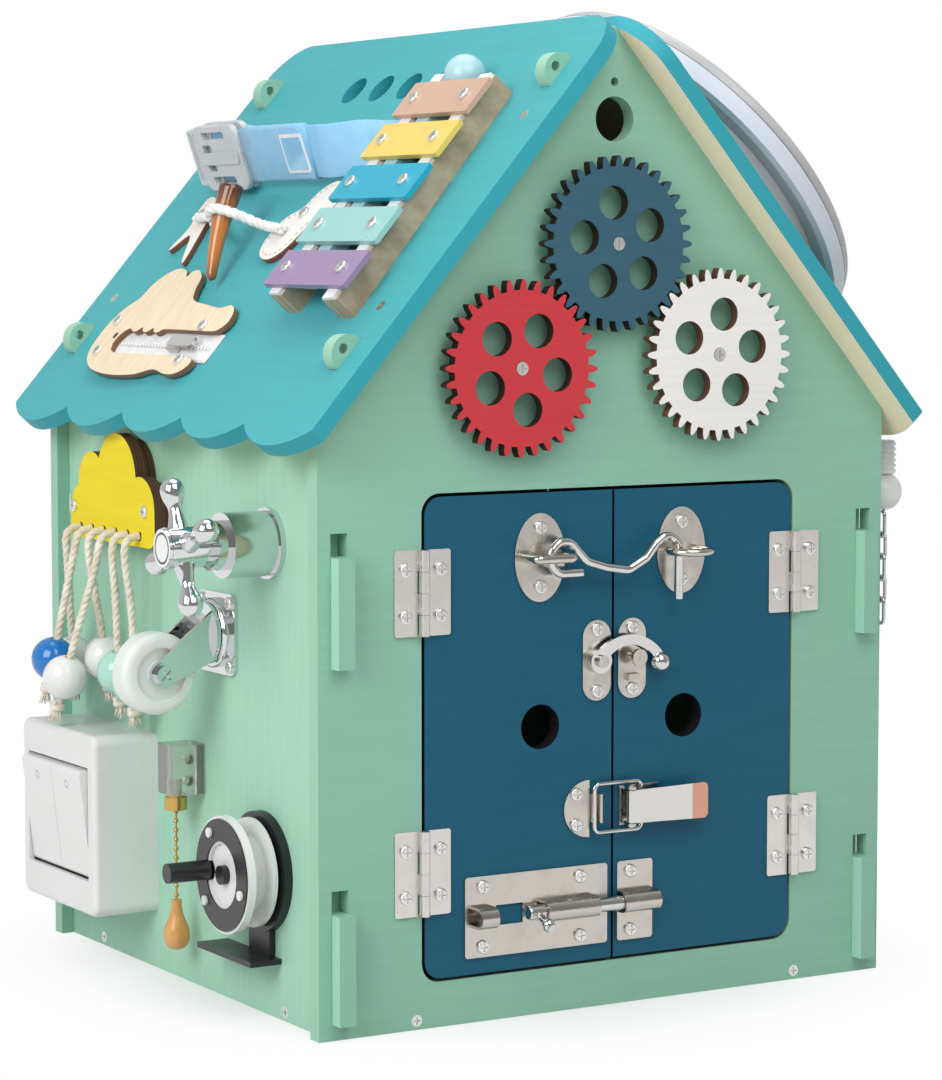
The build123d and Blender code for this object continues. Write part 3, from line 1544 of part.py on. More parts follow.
# Six lacing ropes: each comes out of its hole in the cloud, bends down and hangs beside the wall.
# A point is (y, z, distance off the wall); the last run carries the bead.
rope_diameter = 4.0
rope_routes = (
    (
        (91.9, 207.0, 12.0), (91.9, 207.0, 17.0), (92.2, 203.0, 20.2), (93.2, 193.2, 19.0),
        (95.6, 182.5, 17.2), (100.8, 163.4, 14.0), (107.9, 127.4, 9.0),
    ),
    (
        (78.65, 207.0, 12.0), (78.65, 207.0, 17.0), (78.9, 203.0, 20.3), (79.9, 193.2, 21.8),
        (81.9, 184.0, 22.9), (85.9, 165.5, 25.3), (92.6, 129.4, 29.9),
    ),
    (
        (65.4, 207.0, 12.0), (65.4, 207.0, 17.0), (65.9, 203.0, 20.2), (66.7, 194.6, 19.5),
        (67.2, 185.0, 17.9), (65.9, 166.8, 14.4), (66.2, 132.1, 9.6),
    ),
    (
        (52.15, 207.0, 12.0), (52.15, 207.0, 17.0), (52.6, 203.0, 20.3), (54.0, 193.0, 21.3),
        (57.5, 180.5, 23.3), (64.0, 158.5, 27.5), (73.2, 123.2, 33.4),
    ),
    (
        (38.9, 207.0, 12.0), (38.9, 207.0, 17.0), (38.6, 203.0, 20.2), (38.9, 193.4, 20.0),
        (39.6, 181.8, 18.2), (43.2, 163.3, 16.0), (46.7, 126.8, 12.7),
    ),
    (
        (25.65, 207.0, 12.0), (25.65, 207.0, 17.0), (25.3, 203.0, 20.2), (24.9, 193.2, 19.8),
        (25.2, 175.5, 17.0), (26.6, 152.8, 13.6), (27.3, 116.3, 9.3),
    ),
)
rope_bend_share = 0.45
bead_radius = 10.6
bead_place_share = 0.6
knot_radius = 3.6
rope_bore_radius = rope_diameter / 2 + running_gap


def bend_radii(points, share):
    """The arc radius at each corner of a route: a share of its shorter run over tan(half turn)."""
    radii = []
    for before, corner, after in zip(points, points[1:], points[2:]):
        turn = (corner - before).get_angle(after - corner)
        shorter = min((corner - before).length, (after - corner).length)
        radii.append(share * shorter / tan(radians(turn) / 2))
    return radii


wall_ropes = [
    [Vector(-wall_face - off, y, z) for y, z, off in route] for route in rope_routes
]
with BuildPart() as bead_ropes:
    for points in wall_ropes:
        radii = bend_radii(points, rope_bend_share)
        print("rope bends", [round(radius, 1) for radius in radii])
        with BuildLine() as rope_path:
            FilletPolyline(*points, radius=radii)
        with BuildSketch(Plane(points[0], z_dir=points[1] - points[0])) as rope_section:
            Circle(rope_diameter / 2)
        sweep()
bead_ropes.part.label = "bead_ropes"
export_step(bead_ropes.part, "parts/bead_ropes.step")

with BuildPart() as rope_beads:
    for points in wall_ropes:
        last_run = points[-1] - points[-2]
        bead_plane = Plane(points[-2] + last_run * bead_place_share, z_dir=last_run)
        knot_plane = Plane(points[-1], z_dir=last_run)
        with Locations(bead_plane):
            Sphere(bead_radius)
            Cylinder(rope_bore_radius, 2 * bead_radius, mode=Mode.SUBTRACT)
        with Locations(knot_plane):
            Sphere(knot_radius)
            Cylinder(rope_diameter / 2, knot_radius + overrun, align=hanging, mode=Mode.SUBTRACT)
rope_beads.part.label = "rope_beads"
export_step(rope_beads.part, "parts/rope_beads.step")


def left_roof_plane(off=0):
    """Sketch plane on the left roof: x is minus the place along the ridge, y minus the slope."""
    return roof_at(-1, 0, 0, off)


# Xylophone: two rails with pads, five bars screwed through them, and a mallet between the rails
rail_top_slope = 43.5
rail_end_slope = 174.5
pad_width = 9.0
mallet_y = -78.0
mallet_off = 9.8
mallet_slat_width = 11.0
mallet_slat_height = 6.6
mallet_end_slope = 166.0
mallet_ball_radius = 9.5
bar_corner = 1.0
bar_hole_radius = plate_shank_radius

bar_first_front_y = bar_rear_y - bar_screw_front_share * bar_short
bar_last_front_y = bar_rear_y - bar_screw_front_share * bar_long
rail_length = rail_end_slope - rail_top_slope
rail_middle_slope = (rail_end_slope + rail_top_slope) / 2
bars_middle_slope = (bar_slopes[0] + bar_slopes[-1]) / 2
rail_lean = Vector(bar_slopes[-1] - bar_slopes[0], bar_first_front_y - bar_last_front_y, 0).get_angle(
    Vector(1, 0, 0)
)
rear_rail_y = bar_rear_y - bar_screw_rear_share * (bar_short + bar_long) / 2
front_rail_y = (bar_first_front_y + bar_last_front_y) / 2

rail_spots = (
    Location((-rear_rail_y, -rail_middle_slope, 0)),
    Location((-front_rail_y, -bars_middle_slope, 0), (0, 0, rail_lean)),
)
with BuildPart() as xylophone_rails:
    for spot in rail_spots:
        with BuildSketch(left_roof_plane()) as rail_profile:
            with Locations(spot):
                Rectangle(rail_width, rail_length)
        extrude(amount=rail_height)
    add(bar_bores, mode=Mode.SUBTRACT)
xylophone_rails.part.label = "xylophone_rails"
with BuildPart() as rail_pads:
    for spot in rail_spots:
        with BuildSketch(left_roof_plane(rail_height)) as pad_profile:
            with Locations(spot):
                Rectangle(pad_width, rail_length)
        extrude(amount=rail_pad)
    add(bar_bores, mode=Mode.SUBTRACT)
rails_and_pads = Compound(
    label="xylophone_rails", children=[*xylophone_rails.part.solids(), *rail_pads.part.solids()]
)
export_step(rails_and_pads, "parts/xylophone_rails.step")

with BuildPart() as xylophone_bars:
    for length, slope in zip(bar_lengths, bar_slopes):
        with BuildSketch(left_roof_plane(rail_height + rail_pad)) as bar_profile:
            with Locations((-bar_rear_y + length / 2, -slope)):
                RectangleRounded(length, bar_width, bar_corner)
            for share in (bar_screw_rear_share, bar_screw_front_share):
                with Locations((-bar_rear_y + share * length, -slope)):
                    Circle(bar_hole_radius, mode=Mode.SUBTRACT)
        extrude(amount=bar_thickness)
xylophone_bars.part.label = "xylophone_bars"
export_step(xylophone_bars.part, "parts/xylophone_bars.step")

# The ball rests against the first bar's edge, and the slat lies under the bars
ball_drop = rail_height + rail_pad - mallet_off
ball_slope = bar_slopes[0] - bar_width / 2 - sqrt(mallet_ball_radius**2 - ball_drop**2) - seat_gap
with BuildPart() as xylophone_mallet:
    with Locations(roof_at(-1, mallet_y, ball_slope, mallet_off)):
        Sphere(mallet_ball_radius)
    with Locations(roof_at(-1, mallet_y, (ball_slope + mallet_end_slope) / 2, mallet_off)):
        Box(mallet_slat_width, mallet_end_slope - ball_slope, mallet_slat_height)
xylophone_mallet.part.label = "xylophone_mallet"
export_step(xylophone_mallet.part, "parts/xylophone_mallet.step")

# Strap: a webbing loop screwed down along its rear run; its front run carries the side-release buckle
strap_width = 25.0
# Each station is (y, slope, distance off the roof, width direction up the slope, and off the roof)
strap_stations = (
    (-40.0, 72.0, 0.8, 1.0, 0.0),
    (86.0, 72.0, 0.8, 1.0, 0.0),
    (98.0, 73.0, 2.2, 1.0, 0.0),
    (108.0, 77.0, 7.4, 0.93, 0.37),
    (112.0, 84.0, 11.5, 0.7, 0.714),
    (106.0, 90.0, 16.0, 0.495, 0.869),
    (94.0, 91.5, 17.0, 0.5, 0.866),
    (-4.0, 91.5, 17.0, 0.5, 0.866),
    (-14.0, 89.0, 14.0, 0.64, 0.77),
    (-23.0, 82.5, 9.0, 0.85, 0.53),
    (-31.0, 75.5, 4.4, 1.0, 0.0),
    (-40.0, 73.5, 2.6, 1.0, 0.0),
)


def roof_point(y, slope, off):
    """A point over the left roof."""
    return roof_at(-1, y, slope, off).origin


strap_up = Vector(pitch_cos, 0, pitch_sin)
strap_out = Vector(-pitch_sin, 0, pitch_cos)


def strap_section(number):
    """Plane across the strap at a station, its local x along the width."""
    y, slope, off, up_share, out_share = strap_stations[number]
    before = roof_point(*strap_stations[max(number - 1, 0)][:3])
    after = roof_point(*strap_stations[min(number + 1, len(strap_stations) - 1)][:3])
    width_dir = strap_up * up_share + strap_out * out_share
    run = (after - before).normalized()
    across = (width_dir - run * width_dir.dot(run)).normalized()
    return Plane(origin=roof_point(y, slope, off), x_dir=across, z_dir=run)


with BuildPart() as strap_webbing:
    for number in range(len(strap_stations)):
        with BuildSketch(strap_section(number)) as strap_profile:
            Rectangle(strap_width, strap_thickness)
    loft(ruled=True)
    add(roof_bores, mode=Mode.SUBTRACT)
strap_webbing.part.label = "strap_webbing"
export_step(strap_webbing.part, "parts/strap_webbing.step")


# Buckle: a clear socket and its end bar round the strap's front run, and a folded sleeve beside them
buckle_middle_y = 45.0
buckle_socket_rear = 108.0
buckle_socket_front = 62.0
buckle_width = 33.0
buckle_thickness = 9.0
buckle_corner = 7.0
buckle_edge = buckle_corner / 3
buckle_bar_rear = 119.0
buckle_bar_width = 29.0
buckle_bar_thickness = 5.0
sleeve_front = -2.0
sleeve_thickness = 4.6
sleeve_gap = 0.6
sleeve_round = 1.0
label_width = 18.0
label_length = 22.0
label_thickness = 0.6
label_middle_y = 10.0

run_up, run_out = strap_stations[6][3:]
buckle_plane = Plane(
    origin=roof_point(buckle_middle_y, *strap_stations[6][1:3]),
    x_dir=(0, -1, 0),
    z_dir=strap_out * run_up - strap_up * run_out,
)
buckle_axis = Axis((0, 0, 0), buckle_plane.z_dir)
socket_length = buckle_socket_rear - buckle_socket_front
sleeve_length = buckle_socket_front - sleeve_gap - sleeve_front
with BuildPart() as strap_buckle:
    with BuildSketch(buckle_plane.offset(-buckle_thickness / 2)) as socket_profile:
        with Locations((buckle_middle_y - (buckle_socket_rear + buckle_socket_front) / 2, 0)):
            RectangleRounded(socket_length, buckle_width, buckle_corner)
    extrude(amount=buckle_thickness)
    fillet(strap_buckle.faces().sort_by(buckle_axis)[-1].edges(), buckle_edge)
    with BuildSketch(buckle_plane.offset(-buckle_bar_thickness / 2)) as bar_profile:
        with Locations((buckle_middle_y - (buckle_bar_rear + buckle_socket_rear) / 2, 0)):
            Rectangle(buckle_bar_rear - buckle_socket_rear, buckle_bar_width)
    extrude(amount=buckle_bar_thickness)
    with BuildSketch(buckle_plane.offset(-sleeve_thickness / 2)) as sleeve_profile:
        with Locations((buckle_middle_y - (buckle_socket_front - sleeve_gap + sleeve_front) / 2, 0)):
            RectangleRounded(sleeve_length, strap_width + 2 * sleeve_round, sleeve_round)
    extrude(amount=sleeve_thickness)
    with BuildSketch(buckle_plane.offset(sleeve_thickness / 2)) as label_profile:
        with Locations((buckle_middle_y - label_middle_y, 0)):
            RectangleRounded(label_length, label_width, sleeve_round)
    extrude(amount=label_thickness)
    add(strap_webbing.part, mode=Mode.SUBTRACT)
strap_buckle.part.label = "strap_buckle"
export_step(strap_buckle.part, "parts/strap_buckle.step")

# Toggle fastening: two leather patches joined by a rope that loops round a horn
patch_lobes = ((-2.0, 131.0, 14.5), (-17.0, 111.0, 13.5))
patch_waist = 20.0
prong_points = (
    (104.0, 106.0), (96.5, 111.0), (89.0, 128.0), (81.6, 147.4), (97.5, 133.0), (107.0, 139.4), (109.5, 122.0), (110.0, 108.0),
)
horn_head = (36.0, 117.0, 24.0)
horn_tip = (29.5, 161.6, 5.5)
horn_head_radius = 6.3
horn_tip_radius = 2.2
horn_ring_share = 0.42
toggle_rope_radius = 2.6
toggle_right_route = ((12.0, 127.0), (-4.0, 131.0))
toggle_left_route = ((88.0, 119.0), (99.0, 123.5))

lobe_a = Vector(-patch_lobes[0][0], -patch_lobes[0][1], 0)
lobe_b = Vector(-patch_lobes[1][0], -patch_lobes[1][1], 0)
lobe_run = lobe_b - lobe_a
head_point = roof_point(*horn_head)
tip_point = roof_point(*horn_tip)
horn_run = tip_point - head_point
horn_ring_point = head_point + horn_run * horn_ring_share
horn_ring_hole = horn_head_radius + (horn_tip_radius - horn_head_radius) * horn_ring_share + seat_gap
horn_ring_radius = horn_ring_hole + toggle_rope_radius

with BuildPart() as toggle_patches:
    with BuildSketch(left_roof_plane()) as patch_profile:
        for y, slope, radius in patch_lobes:
            with Locations((-y, -slope)):
                Circle(radius)
        with Locations(
            Location(
                tuple((lobe_a + lobe_b) / 2),
                (0, 0, Vector(1, 0, 0).get_signed_angle(lobe_run)),
            )
        ):
            Rectangle(lobe_run.length, patch_waist)
    extrude(amount=patch_thickness)
    with BuildSketch(left_roof_plane()) as prong_profile:
        with BuildLine():
            Polyline(*[(-y, -slope) for y, slope in prong_points], close=True)
        make_face()
    extrude(amount=patch_thickness)
    add(roof_bores, mode=Mode.SUBTRACT)

rope_rest = patch_thickness + toggle_rope_radius
with BuildPart() as toggle_rope:
    with Locations(Plane(horn_ring_point, z_dir=horn_run)):
        Torus(horn_ring_radius, toggle_rope_radius)
    for side, route in ((-1, toggle_right_route), (1, toggle_left_route)):
        across = Vector(0, side, 0)
        start = horn_ring_point + across * horn_ring_radius
        points = [start] + [roof_point(y, slope, rope_rest) for y, slope in route]
        with BuildLine() as rope_path:
            FilletPolyline(*points, radius=bend_radii(points, rope_bend_share))
        with BuildSketch(Plane(points[0], z_dir=points[1] - points[0])) as rope_section:
            Circle(toggle_rope_radius)
        sweep()
toggle_pieces = Compound(
    label="toggle_loop", children=[*toggle_patches.part.solids(), *toggle_rope.part.solids()]
)
export_step(toggle_pieces, "parts/toggle_loop.step")

with BuildPart() as toggle_horn:
    with BuildSketch(Plane(head_point, x_dir=(0, 1, 0), z_dir=horn_run)) as head_section:
        Circle(horn_head_radius)
    with BuildSketch(Plane(tip_point, x_dir=(0, 1, 0), z_dir=horn_run)) as tip_section:
        Circle(horn_tip_radius)
    loft()
    fillet(toggle_horn.edges().filter_by(GeomType.CIRCLE), horn_tip_radius / 2)
toggle_horn.part.label = "toggle_horn"
export_step(toggle_horn.part, "parts/toggle_horn.step")

# Plywood fish over a zipper: body, fins, tail and lip are ovals, each (y, slope, half length, half
# width, turn)
figure_ovals = (
    (53.0, 196.5, 56.0, 23.0, 0.0),
    (70.0, 167.5, 25.0, 11.0, -28.0),
    (52.0, 164.0, 12.0, 6.5, -60.0),
    (-1.0, 183.0, 16.0, 8.5, 30.0),
    (6.0, 208.0, 10.0, 9.0, 0.0),
)
mouth_rear_y = 87.0
mouth_front_y = -30.0
mouth_slope = 198.0
mouth_height = 15.0
tooth_lobes_y = (74.0, 62.0, 50.0)
tooth_lobe_radius = 6.0
tooth_lobe_slope = 186.5
tape_rear_y = 92.0
tape_front_y = -15.0
tape_top_slope = 189.3
tape_bottom_slope = 206.4
tape_teeth_width = 2.2
tape_teeth_height = 0.9
slider_y = 22.0
slider_length = 9.0
slider_width = 7.6
slider_height = 3.2
slider_tab_length = 20.0
slider_tab_width = 6.0
slider_tab_thickness = 1.4
slider_gap = 0.3

with BuildPart() as plywood_figure:
    with BuildSketch(left_roof_plane(zipper_tape)) as figure_profile:
        for y, slope, half_length, half_width, turn in figure_ovals:
            with Locations(Location((-y, -slope, 0), (0, 0, turn))):
                Ellipse(half_length, half_width)
        with Locations((-(mouth_rear_y + mouth_front_y) / 2, -mouth_slope)):
            SlotOverall(mouth_rear_y - mouth_front_y, mouth_height, mode=Mode.SUBTRACT)
        for y in tooth_lobes_y:
            with Locations((-y, -tooth_lobe_slope)):
                Circle(tooth_lobe_radius)
        for y, slope in figure_screws:
            with Locations((-y, -slope)):
                Circle(plate_shank_radius, mode=Mode.SUBTRACT)
    extrude(amount=figure_board)

tape_middle_y = (tape_rear_y + tape_front_y) / 2
with BuildPart() as zipper_tape_body:
    with BuildSketch(left_roof_plane()) as tape_profile:
        with Locations((-tape_middle_y, -(tape_top_slope + tape_bottom_slope) / 2)):
            Rectangle(tape_rear_y - tape_front_y, tape_bottom_slope - tape_top_slope)
    extrude(amount=zipper_tape)
    with BuildSketch(left_roof_plane(zipper_tape)) as teeth_profile:
        with Locations((-(mouth_rear_y + tape_front_y) / 2, -mouth_slope)):
            Rectangle(mouth_rear_y - tape_front_y - slider_length, tape_teeth_width)
    extrude(amount=tape_teeth_height)
figure_pieces = Compound(
    label="plywood_figure",
    children=[*plywood_figure.part.solids(), *zipper_tape_body.part.solids()],
)
export_step(figure_pieces, "parts/plywood_figure.step")

with BuildPart() as zipper_slider:
    with Locations(roof_at(-1, slider_y, mouth_slope, zipper_tape + slider_gap)):
        Box(slider_length, slider_width, slider_height, align=standing)
        Box(
            2 * slider_length,
            tape_teeth_width + 2 * slider_gap,
            tape_teeth_height,
            align=standing,
            mode=Mode.SUBTRACT,
        )
    tab_off = zipper_tape + slider_gap + slider_height
    with BuildSketch(roof_at(-1, slider_y - slider_tab_length / 2, mouth_slope, tab_off)) as tab_profile:
        SlotOverall(slider_tab_length + slider_tab_width, slider_tab_width)
    extrude(amount=slider_tab_thickness)
zipper_slider.part.label = "zipper_slider"
export_step(zipper_slider.part, "parts/zipper_slider.step")

# Push light on the right roof: a base with a wide ring, and a domed cap that presses into it
dome_y = -54.0
dome_slope = 110.0
dome_foot_radius = 89.0
dome_foot = 12.5
dome_radius = 97.5
dome_floor = 3.0
dome_flare = 2.5
dome_seam_off = 23.6
dome_edge_off = 29.5
dome_top_off = 37.0
dome_mouth_radius = 95.6
dome_rim_radius = 97.0
dome_wall = 3.0
dome_skirt = 6.0
dome_gap = 0.4
dome_edge_round = 2.4

dome_plane = roof_at(1, dome_y, dome_slope)
dome_section = Plane(origin=dome_plane.origin, x_dir=dome_plane.x_dir, z_dir=-dome_plane.y_dir)
dome_axis = Axis(dome_plane.origin, dome_plane.z_dir)
cap_radius = dome_mouth_radius - dome_gap
shelf_radius = dome_foot_radius - dome_floor
shelf_off = dome_foot + dome_flare + dome_floor - dome_gap
with BuildPart() as dome_base:
    with BuildSketch(dome_section) as base_profile:
        with BuildLine():
            Polyline(
                (0, dome_floor),
                (0, 0),
                (dome_foot_radius, 0),
                (dome_foot_radius, dome_foot),
                (dome_radius, dome_foot + dome_flare),
                (dome_rim_radius, dome_seam_off),
                (dome_mouth_radius, dome_seam_off),
                (dome_mouth_radius, shelf_off),
                (shelf_radius, shelf_off - dome_flare),
                (shelf_radius, dome_floor),
                (0, dome_floor),
            )
        make_face()
    revolve(axis=dome_axis)
dome_base.part.label = "dome_base"
export_step(dome_base.part, "parts/dome_base.step")

cap_rise = dome_top_off - dome_edge_off
cap_height = dome_top_off - dome_seam_off + dome_skirt
cap_arc_radius = (cap_radius**2 + cap_rise**2) / (2 * cap_rise)
with BuildPart() as dome_cap:
    with Locations(dome_plane.offset(dome_seam_off - dome_skirt + dome_floor)):
        Cylinder(cap_radius, cap_height - dome_floor, align=standing)
    with Locations(dome_plane.offset(dome_top_off - cap_arc_radius)):
        Sphere(cap_arc_radius, mode=Mode.INTERSECT)
    cap_rims = dome_cap.edges().sort_by(SortBy.LENGTH)[-2:]
    fillet(cap_rims.sort_by(dome_axis)[-1], dome_edge_round)
    with BuildPart(mode=Mode.SUBTRACT) as cap_hollow:
        with Locations(dome_plane.offset(dome_seam_off - dome_skirt)):
            Cylinder(cap_radius - dome_wall, cap_height, align=standing)
        with Locations(dome_plane.offset(dome_top_off - cap_arc_radius)):
            Sphere(cap_arc_radius - dome_wall, mode=Mode.INTERSECT)
dome_cap.part.label = "dome_cap"
export_step(dome_cap.part, "parts/dome_cap.step")

# Pendant on the right wall: a bracket with a ribbed stem, a ball and a chain of long links
pendant_y = -122.0
pendant_off = 21.0
pendant_plate = 2.0
pendant_plate_width = 16.0
pendant_plate_height = 22.0
pendant_arm = 6.0
stem_radius = 6.4
stem_groove = 0.7
stem_rib_pitch = 2.6
stem_top = 250.0
ball_middle_z = 225.5
pendant_ball_radius = 9.4
stem_bottom = 234.0
link_wire = 0.9
link_length = 14.0
link_width = 6.4
link_count = 5

pendant_x = wall_face + pendant_off
with BuildPart() as wall_pendant:
    with Locations(right_at(pendant_y, stem_top - pendant_plate_height / 2)):
        Box(pendant_plate_width, pendant_plate_height, pendant_plate, align=standing)
        Box(pendant_arm, pendant_arm, pendant_off, align=standing)
    with Locations(Plane(origin=(pendant_x, pendant_y, stem_bottom))):
        Cylinder(stem_radius - stem_groove, stem_top - stem_bottom, align=standing)
    rib_count = int((stem_top - stem_bottom) / stem_rib_pitch)
    with Locations(
        *[
            Plane(origin=(pendant_x, pendant_y, stem_bottom + (number + 0.5) * stem_rib_pitch))
            for number in range(rib_count)
        ]
    ):
        Cylinder(stem_radius, stem_rib_pitch / 2)
    with Locations(Plane(origin=(pendant_x, pendant_y, ball_middle_z))):
        Sphere(pendant_ball_radius)
pendant_chain = []
link_pitch = link_length - 4 * link_wire
link_middle = ball_middle_z - pendant_ball_radius + link_wire - link_length / 2
for number in range(link_count):
    turn_dir = (1, 0, 0) if number % 2 == 0 else (0, 1, 0)
    link_plane = Plane(
        origin=(pendant_x, pendant_y, link_middle), x_dir=(0, 0, 1), z_dir=turn_dir
    )
    half_run = (link_length - link_width) / 2
    half_width = link_width / 2 - link_wire
    with BuildPart() as link:
        with BuildLine(link_plane) as link_path:
            Line((-half_run, half_width), (half_run, half_width))
            ThreePointArc((half_run, half_width), (half_run + half_width, 0), (half_run, -half_width))
            Line((half_run, -half_width), (-half_run, -half_width))
            ThreePointArc((-half_run, -half_width), (-half_run - half_width, 0), (-half_run, half_width))
        with BuildSketch(Plane(link_path.line @ 0, z_dir=link_path.line % 0)) as link_section:
            Circle(link_wire)
        sweep()
    pendant_chain += link.part.solids()
    link_middle -= link_pitch
pendant_pieces = Compound(
    label="wall_pendant", children=[*wall_pendant.part.solids(), *pendant_chain]
)
export_step(pendant_pieces, "parts/wall_pendant.step")

# Screws of the fittings on the left wall and the left roof
with BuildPart() as fitting_screws:
    add(placed(plate_screw, caster_screw_planes))
    add(placed(cloud_screw, cloud_screw_planes))
    add(placed(bar_screw, bar_screw_planes))
    add(placed(plate_screw, roof_screw_planes))
fitting_screws.part.label = "fitting_screws"
export_step(fitting_screws.part, "parts/fitting_screws.step")
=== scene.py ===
"""Interactive playhouse: looks, soft pieces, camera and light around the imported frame."""

import math
import random

import bmesh
import bpy
from mathutils import Matrix, Vector, noise


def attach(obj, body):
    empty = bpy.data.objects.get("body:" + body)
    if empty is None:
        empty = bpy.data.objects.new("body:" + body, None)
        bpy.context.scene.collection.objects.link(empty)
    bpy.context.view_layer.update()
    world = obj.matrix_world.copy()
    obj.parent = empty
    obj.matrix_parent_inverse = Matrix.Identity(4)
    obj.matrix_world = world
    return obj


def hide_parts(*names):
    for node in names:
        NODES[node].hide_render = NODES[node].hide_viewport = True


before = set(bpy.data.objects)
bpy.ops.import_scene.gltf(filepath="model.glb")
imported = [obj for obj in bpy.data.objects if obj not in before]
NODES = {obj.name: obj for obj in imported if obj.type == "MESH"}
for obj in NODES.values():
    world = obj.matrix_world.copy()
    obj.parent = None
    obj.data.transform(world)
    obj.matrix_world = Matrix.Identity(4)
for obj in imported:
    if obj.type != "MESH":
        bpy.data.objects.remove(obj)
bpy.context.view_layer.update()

# Sizes and places are in mm, in the frame's own axes, and MM turns them into metres.
# The depth of a bump is in metres, and the scale of a noise is per metre.
MM = 0.001
PITCH = math.radians(49)
UP_SLOPE = Vector((math.cos(PITCH), 0, math.sin(PITCH)))
ROOF_OUT = Vector((-math.sin(PITCH), 0, math.cos(PITCH)))
RIGHT_OUT = Vector((math.sin(PITCH), 0, math.cos(PITCH)))
FRONT_OUT = Vector((0, -1, 0))
LEFT_OUT = Vector((-1, 0, 0))
UP = Vector((0, 0, 1))
APEX = 439.0
BOARD = 7.5
WALL_X = -143.5
RNG = random.Random(7)
EDGE_ANGLE = math.radians(40)


def roof(y, slope, off):
    """A point over the left roof: y along the ridge, slope down from it, off above its top, in mm."""
    height = BOARD + off
    return Vector((0, y, APEX)) - UP_SLOPE * slope + ROOF_OUT * height


def wall(y, z, off):
    """A point off the left wall, in mm."""
    return Vector((WALL_X - off, y, z))


# Material helpers


def new_material(name, color, rough, metal=0.0, **sockets):
    """A principled material with its plain sockets set."""
    mat = bpy.data.materials.new(name)
    mat.use_nodes = True
    tree = mat.node_tree
    shader = tree.nodes["Principled BSDF"]
    shader.inputs["Base Color"].default_value = (*color, 1)
    shader.inputs["Roughness"].default_value = rough
    shader.inputs["Metallic"].default_value = metal
    for key, value in sockets.items():
        shader.inputs[key.replace("_", " ")].default_value = value
    return mat, tree, shader


def add(tree, kind, inputs=(), **props):
    """A node with its properties and inputs set; an input is a value or a socket."""
    node = tree.nodes.new(kind)
    for key, value in props.items():
        setattr(node, key, value)
    for key, value in dict(inputs).items():
        if isinstance(value, bpy.types.NodeSocket):
            tree.links.new(value, node.inputs[key])
        else:
            node.inputs[key].default_value = value
    return node


def object_point(tree):
    """The shaded point in the piece's own frame, in metres."""
    return add(tree, "ShaderNodeTexCoord").outputs["Object"]


def scaled(tree, source, scale):
    """Coordinates scaled by three numbers."""
    return add(tree, "ShaderNodeMapping", {"Vector": source, "Scale": scale}).outputs[0]


def noise_of(tree, source, scale, detail=3.0, rough=0.5):
    """Noise from 0 to 1."""
    inputs = {"Vector": source, "Scale": scale, "Detail": detail, "Roughness": rough}
    return add(tree, "ShaderNodeTexNoise", inputs).outputs[0]


def math_of(tree, operation, first, second=0.0):
    """One step of arithmetic."""
    return add(tree, "ShaderNodeMath", {0: first, 1: second}, operation=operation).outputs[0]


def ramp(tree, value, low, high, to_low=0.0, to_high=1.0):
    """A value taken smoothly from one range to another."""
    inputs = {0: value, 1: low, 2: high, 3: to_low, 4: to_high}
    return add(tree, "ShaderNodeMapRange", inputs, interpolation_type="SMOOTHSTEP").outputs[0]


def mix(tree, factor, first, second):
    """Two colours mixed by a factor; each is a tuple or a socket."""
    inputs = {"Fac": factor}
    for key, value in (("Color1", first), ("Color2", second)):
        inputs[key] = value if isinstance(value, bpy.types.NodeSocket) else (*value, 1)
    return add(tree, "ShaderNodeMixRGB", inputs).outputs[0]


def along(tree, source, axis):
    """Distance of a point along an axis."""
    node = add(tree, "ShaderNodeVectorMath", {0: source, 1: tuple(axis)}, operation="DOT_PRODUCT")
    return node.outputs["Value"]


def facing(tree, axis):
    """How far the surface faces an axis, from -1 to 1, in the piece's own frame."""
    normal = add(tree, "ShaderNodeTexCoord").outputs["Normal"]
    return along(tree, normal, axis)


def bump(tree, shader, height, distance, strength=1.0, chain=None):
    """A bump of real depth, in metres, on the shader's normal."""
    inputs = {"Height": height, "Distance": distance, "Strength": strength}
    if chain is not None:
        inputs["Normal"] = chain
    node = add(tree, "ShaderNodeBump", inputs)
    tree.links.new(node.outputs[0], shader.inputs["Normal"])
    return node.outputs[0]


def shade(color, factor):
    """A colour made darker by a factor."""
    return tuple(c * factor for c in color)


GRAIN_DEPTH = 1.2e-5


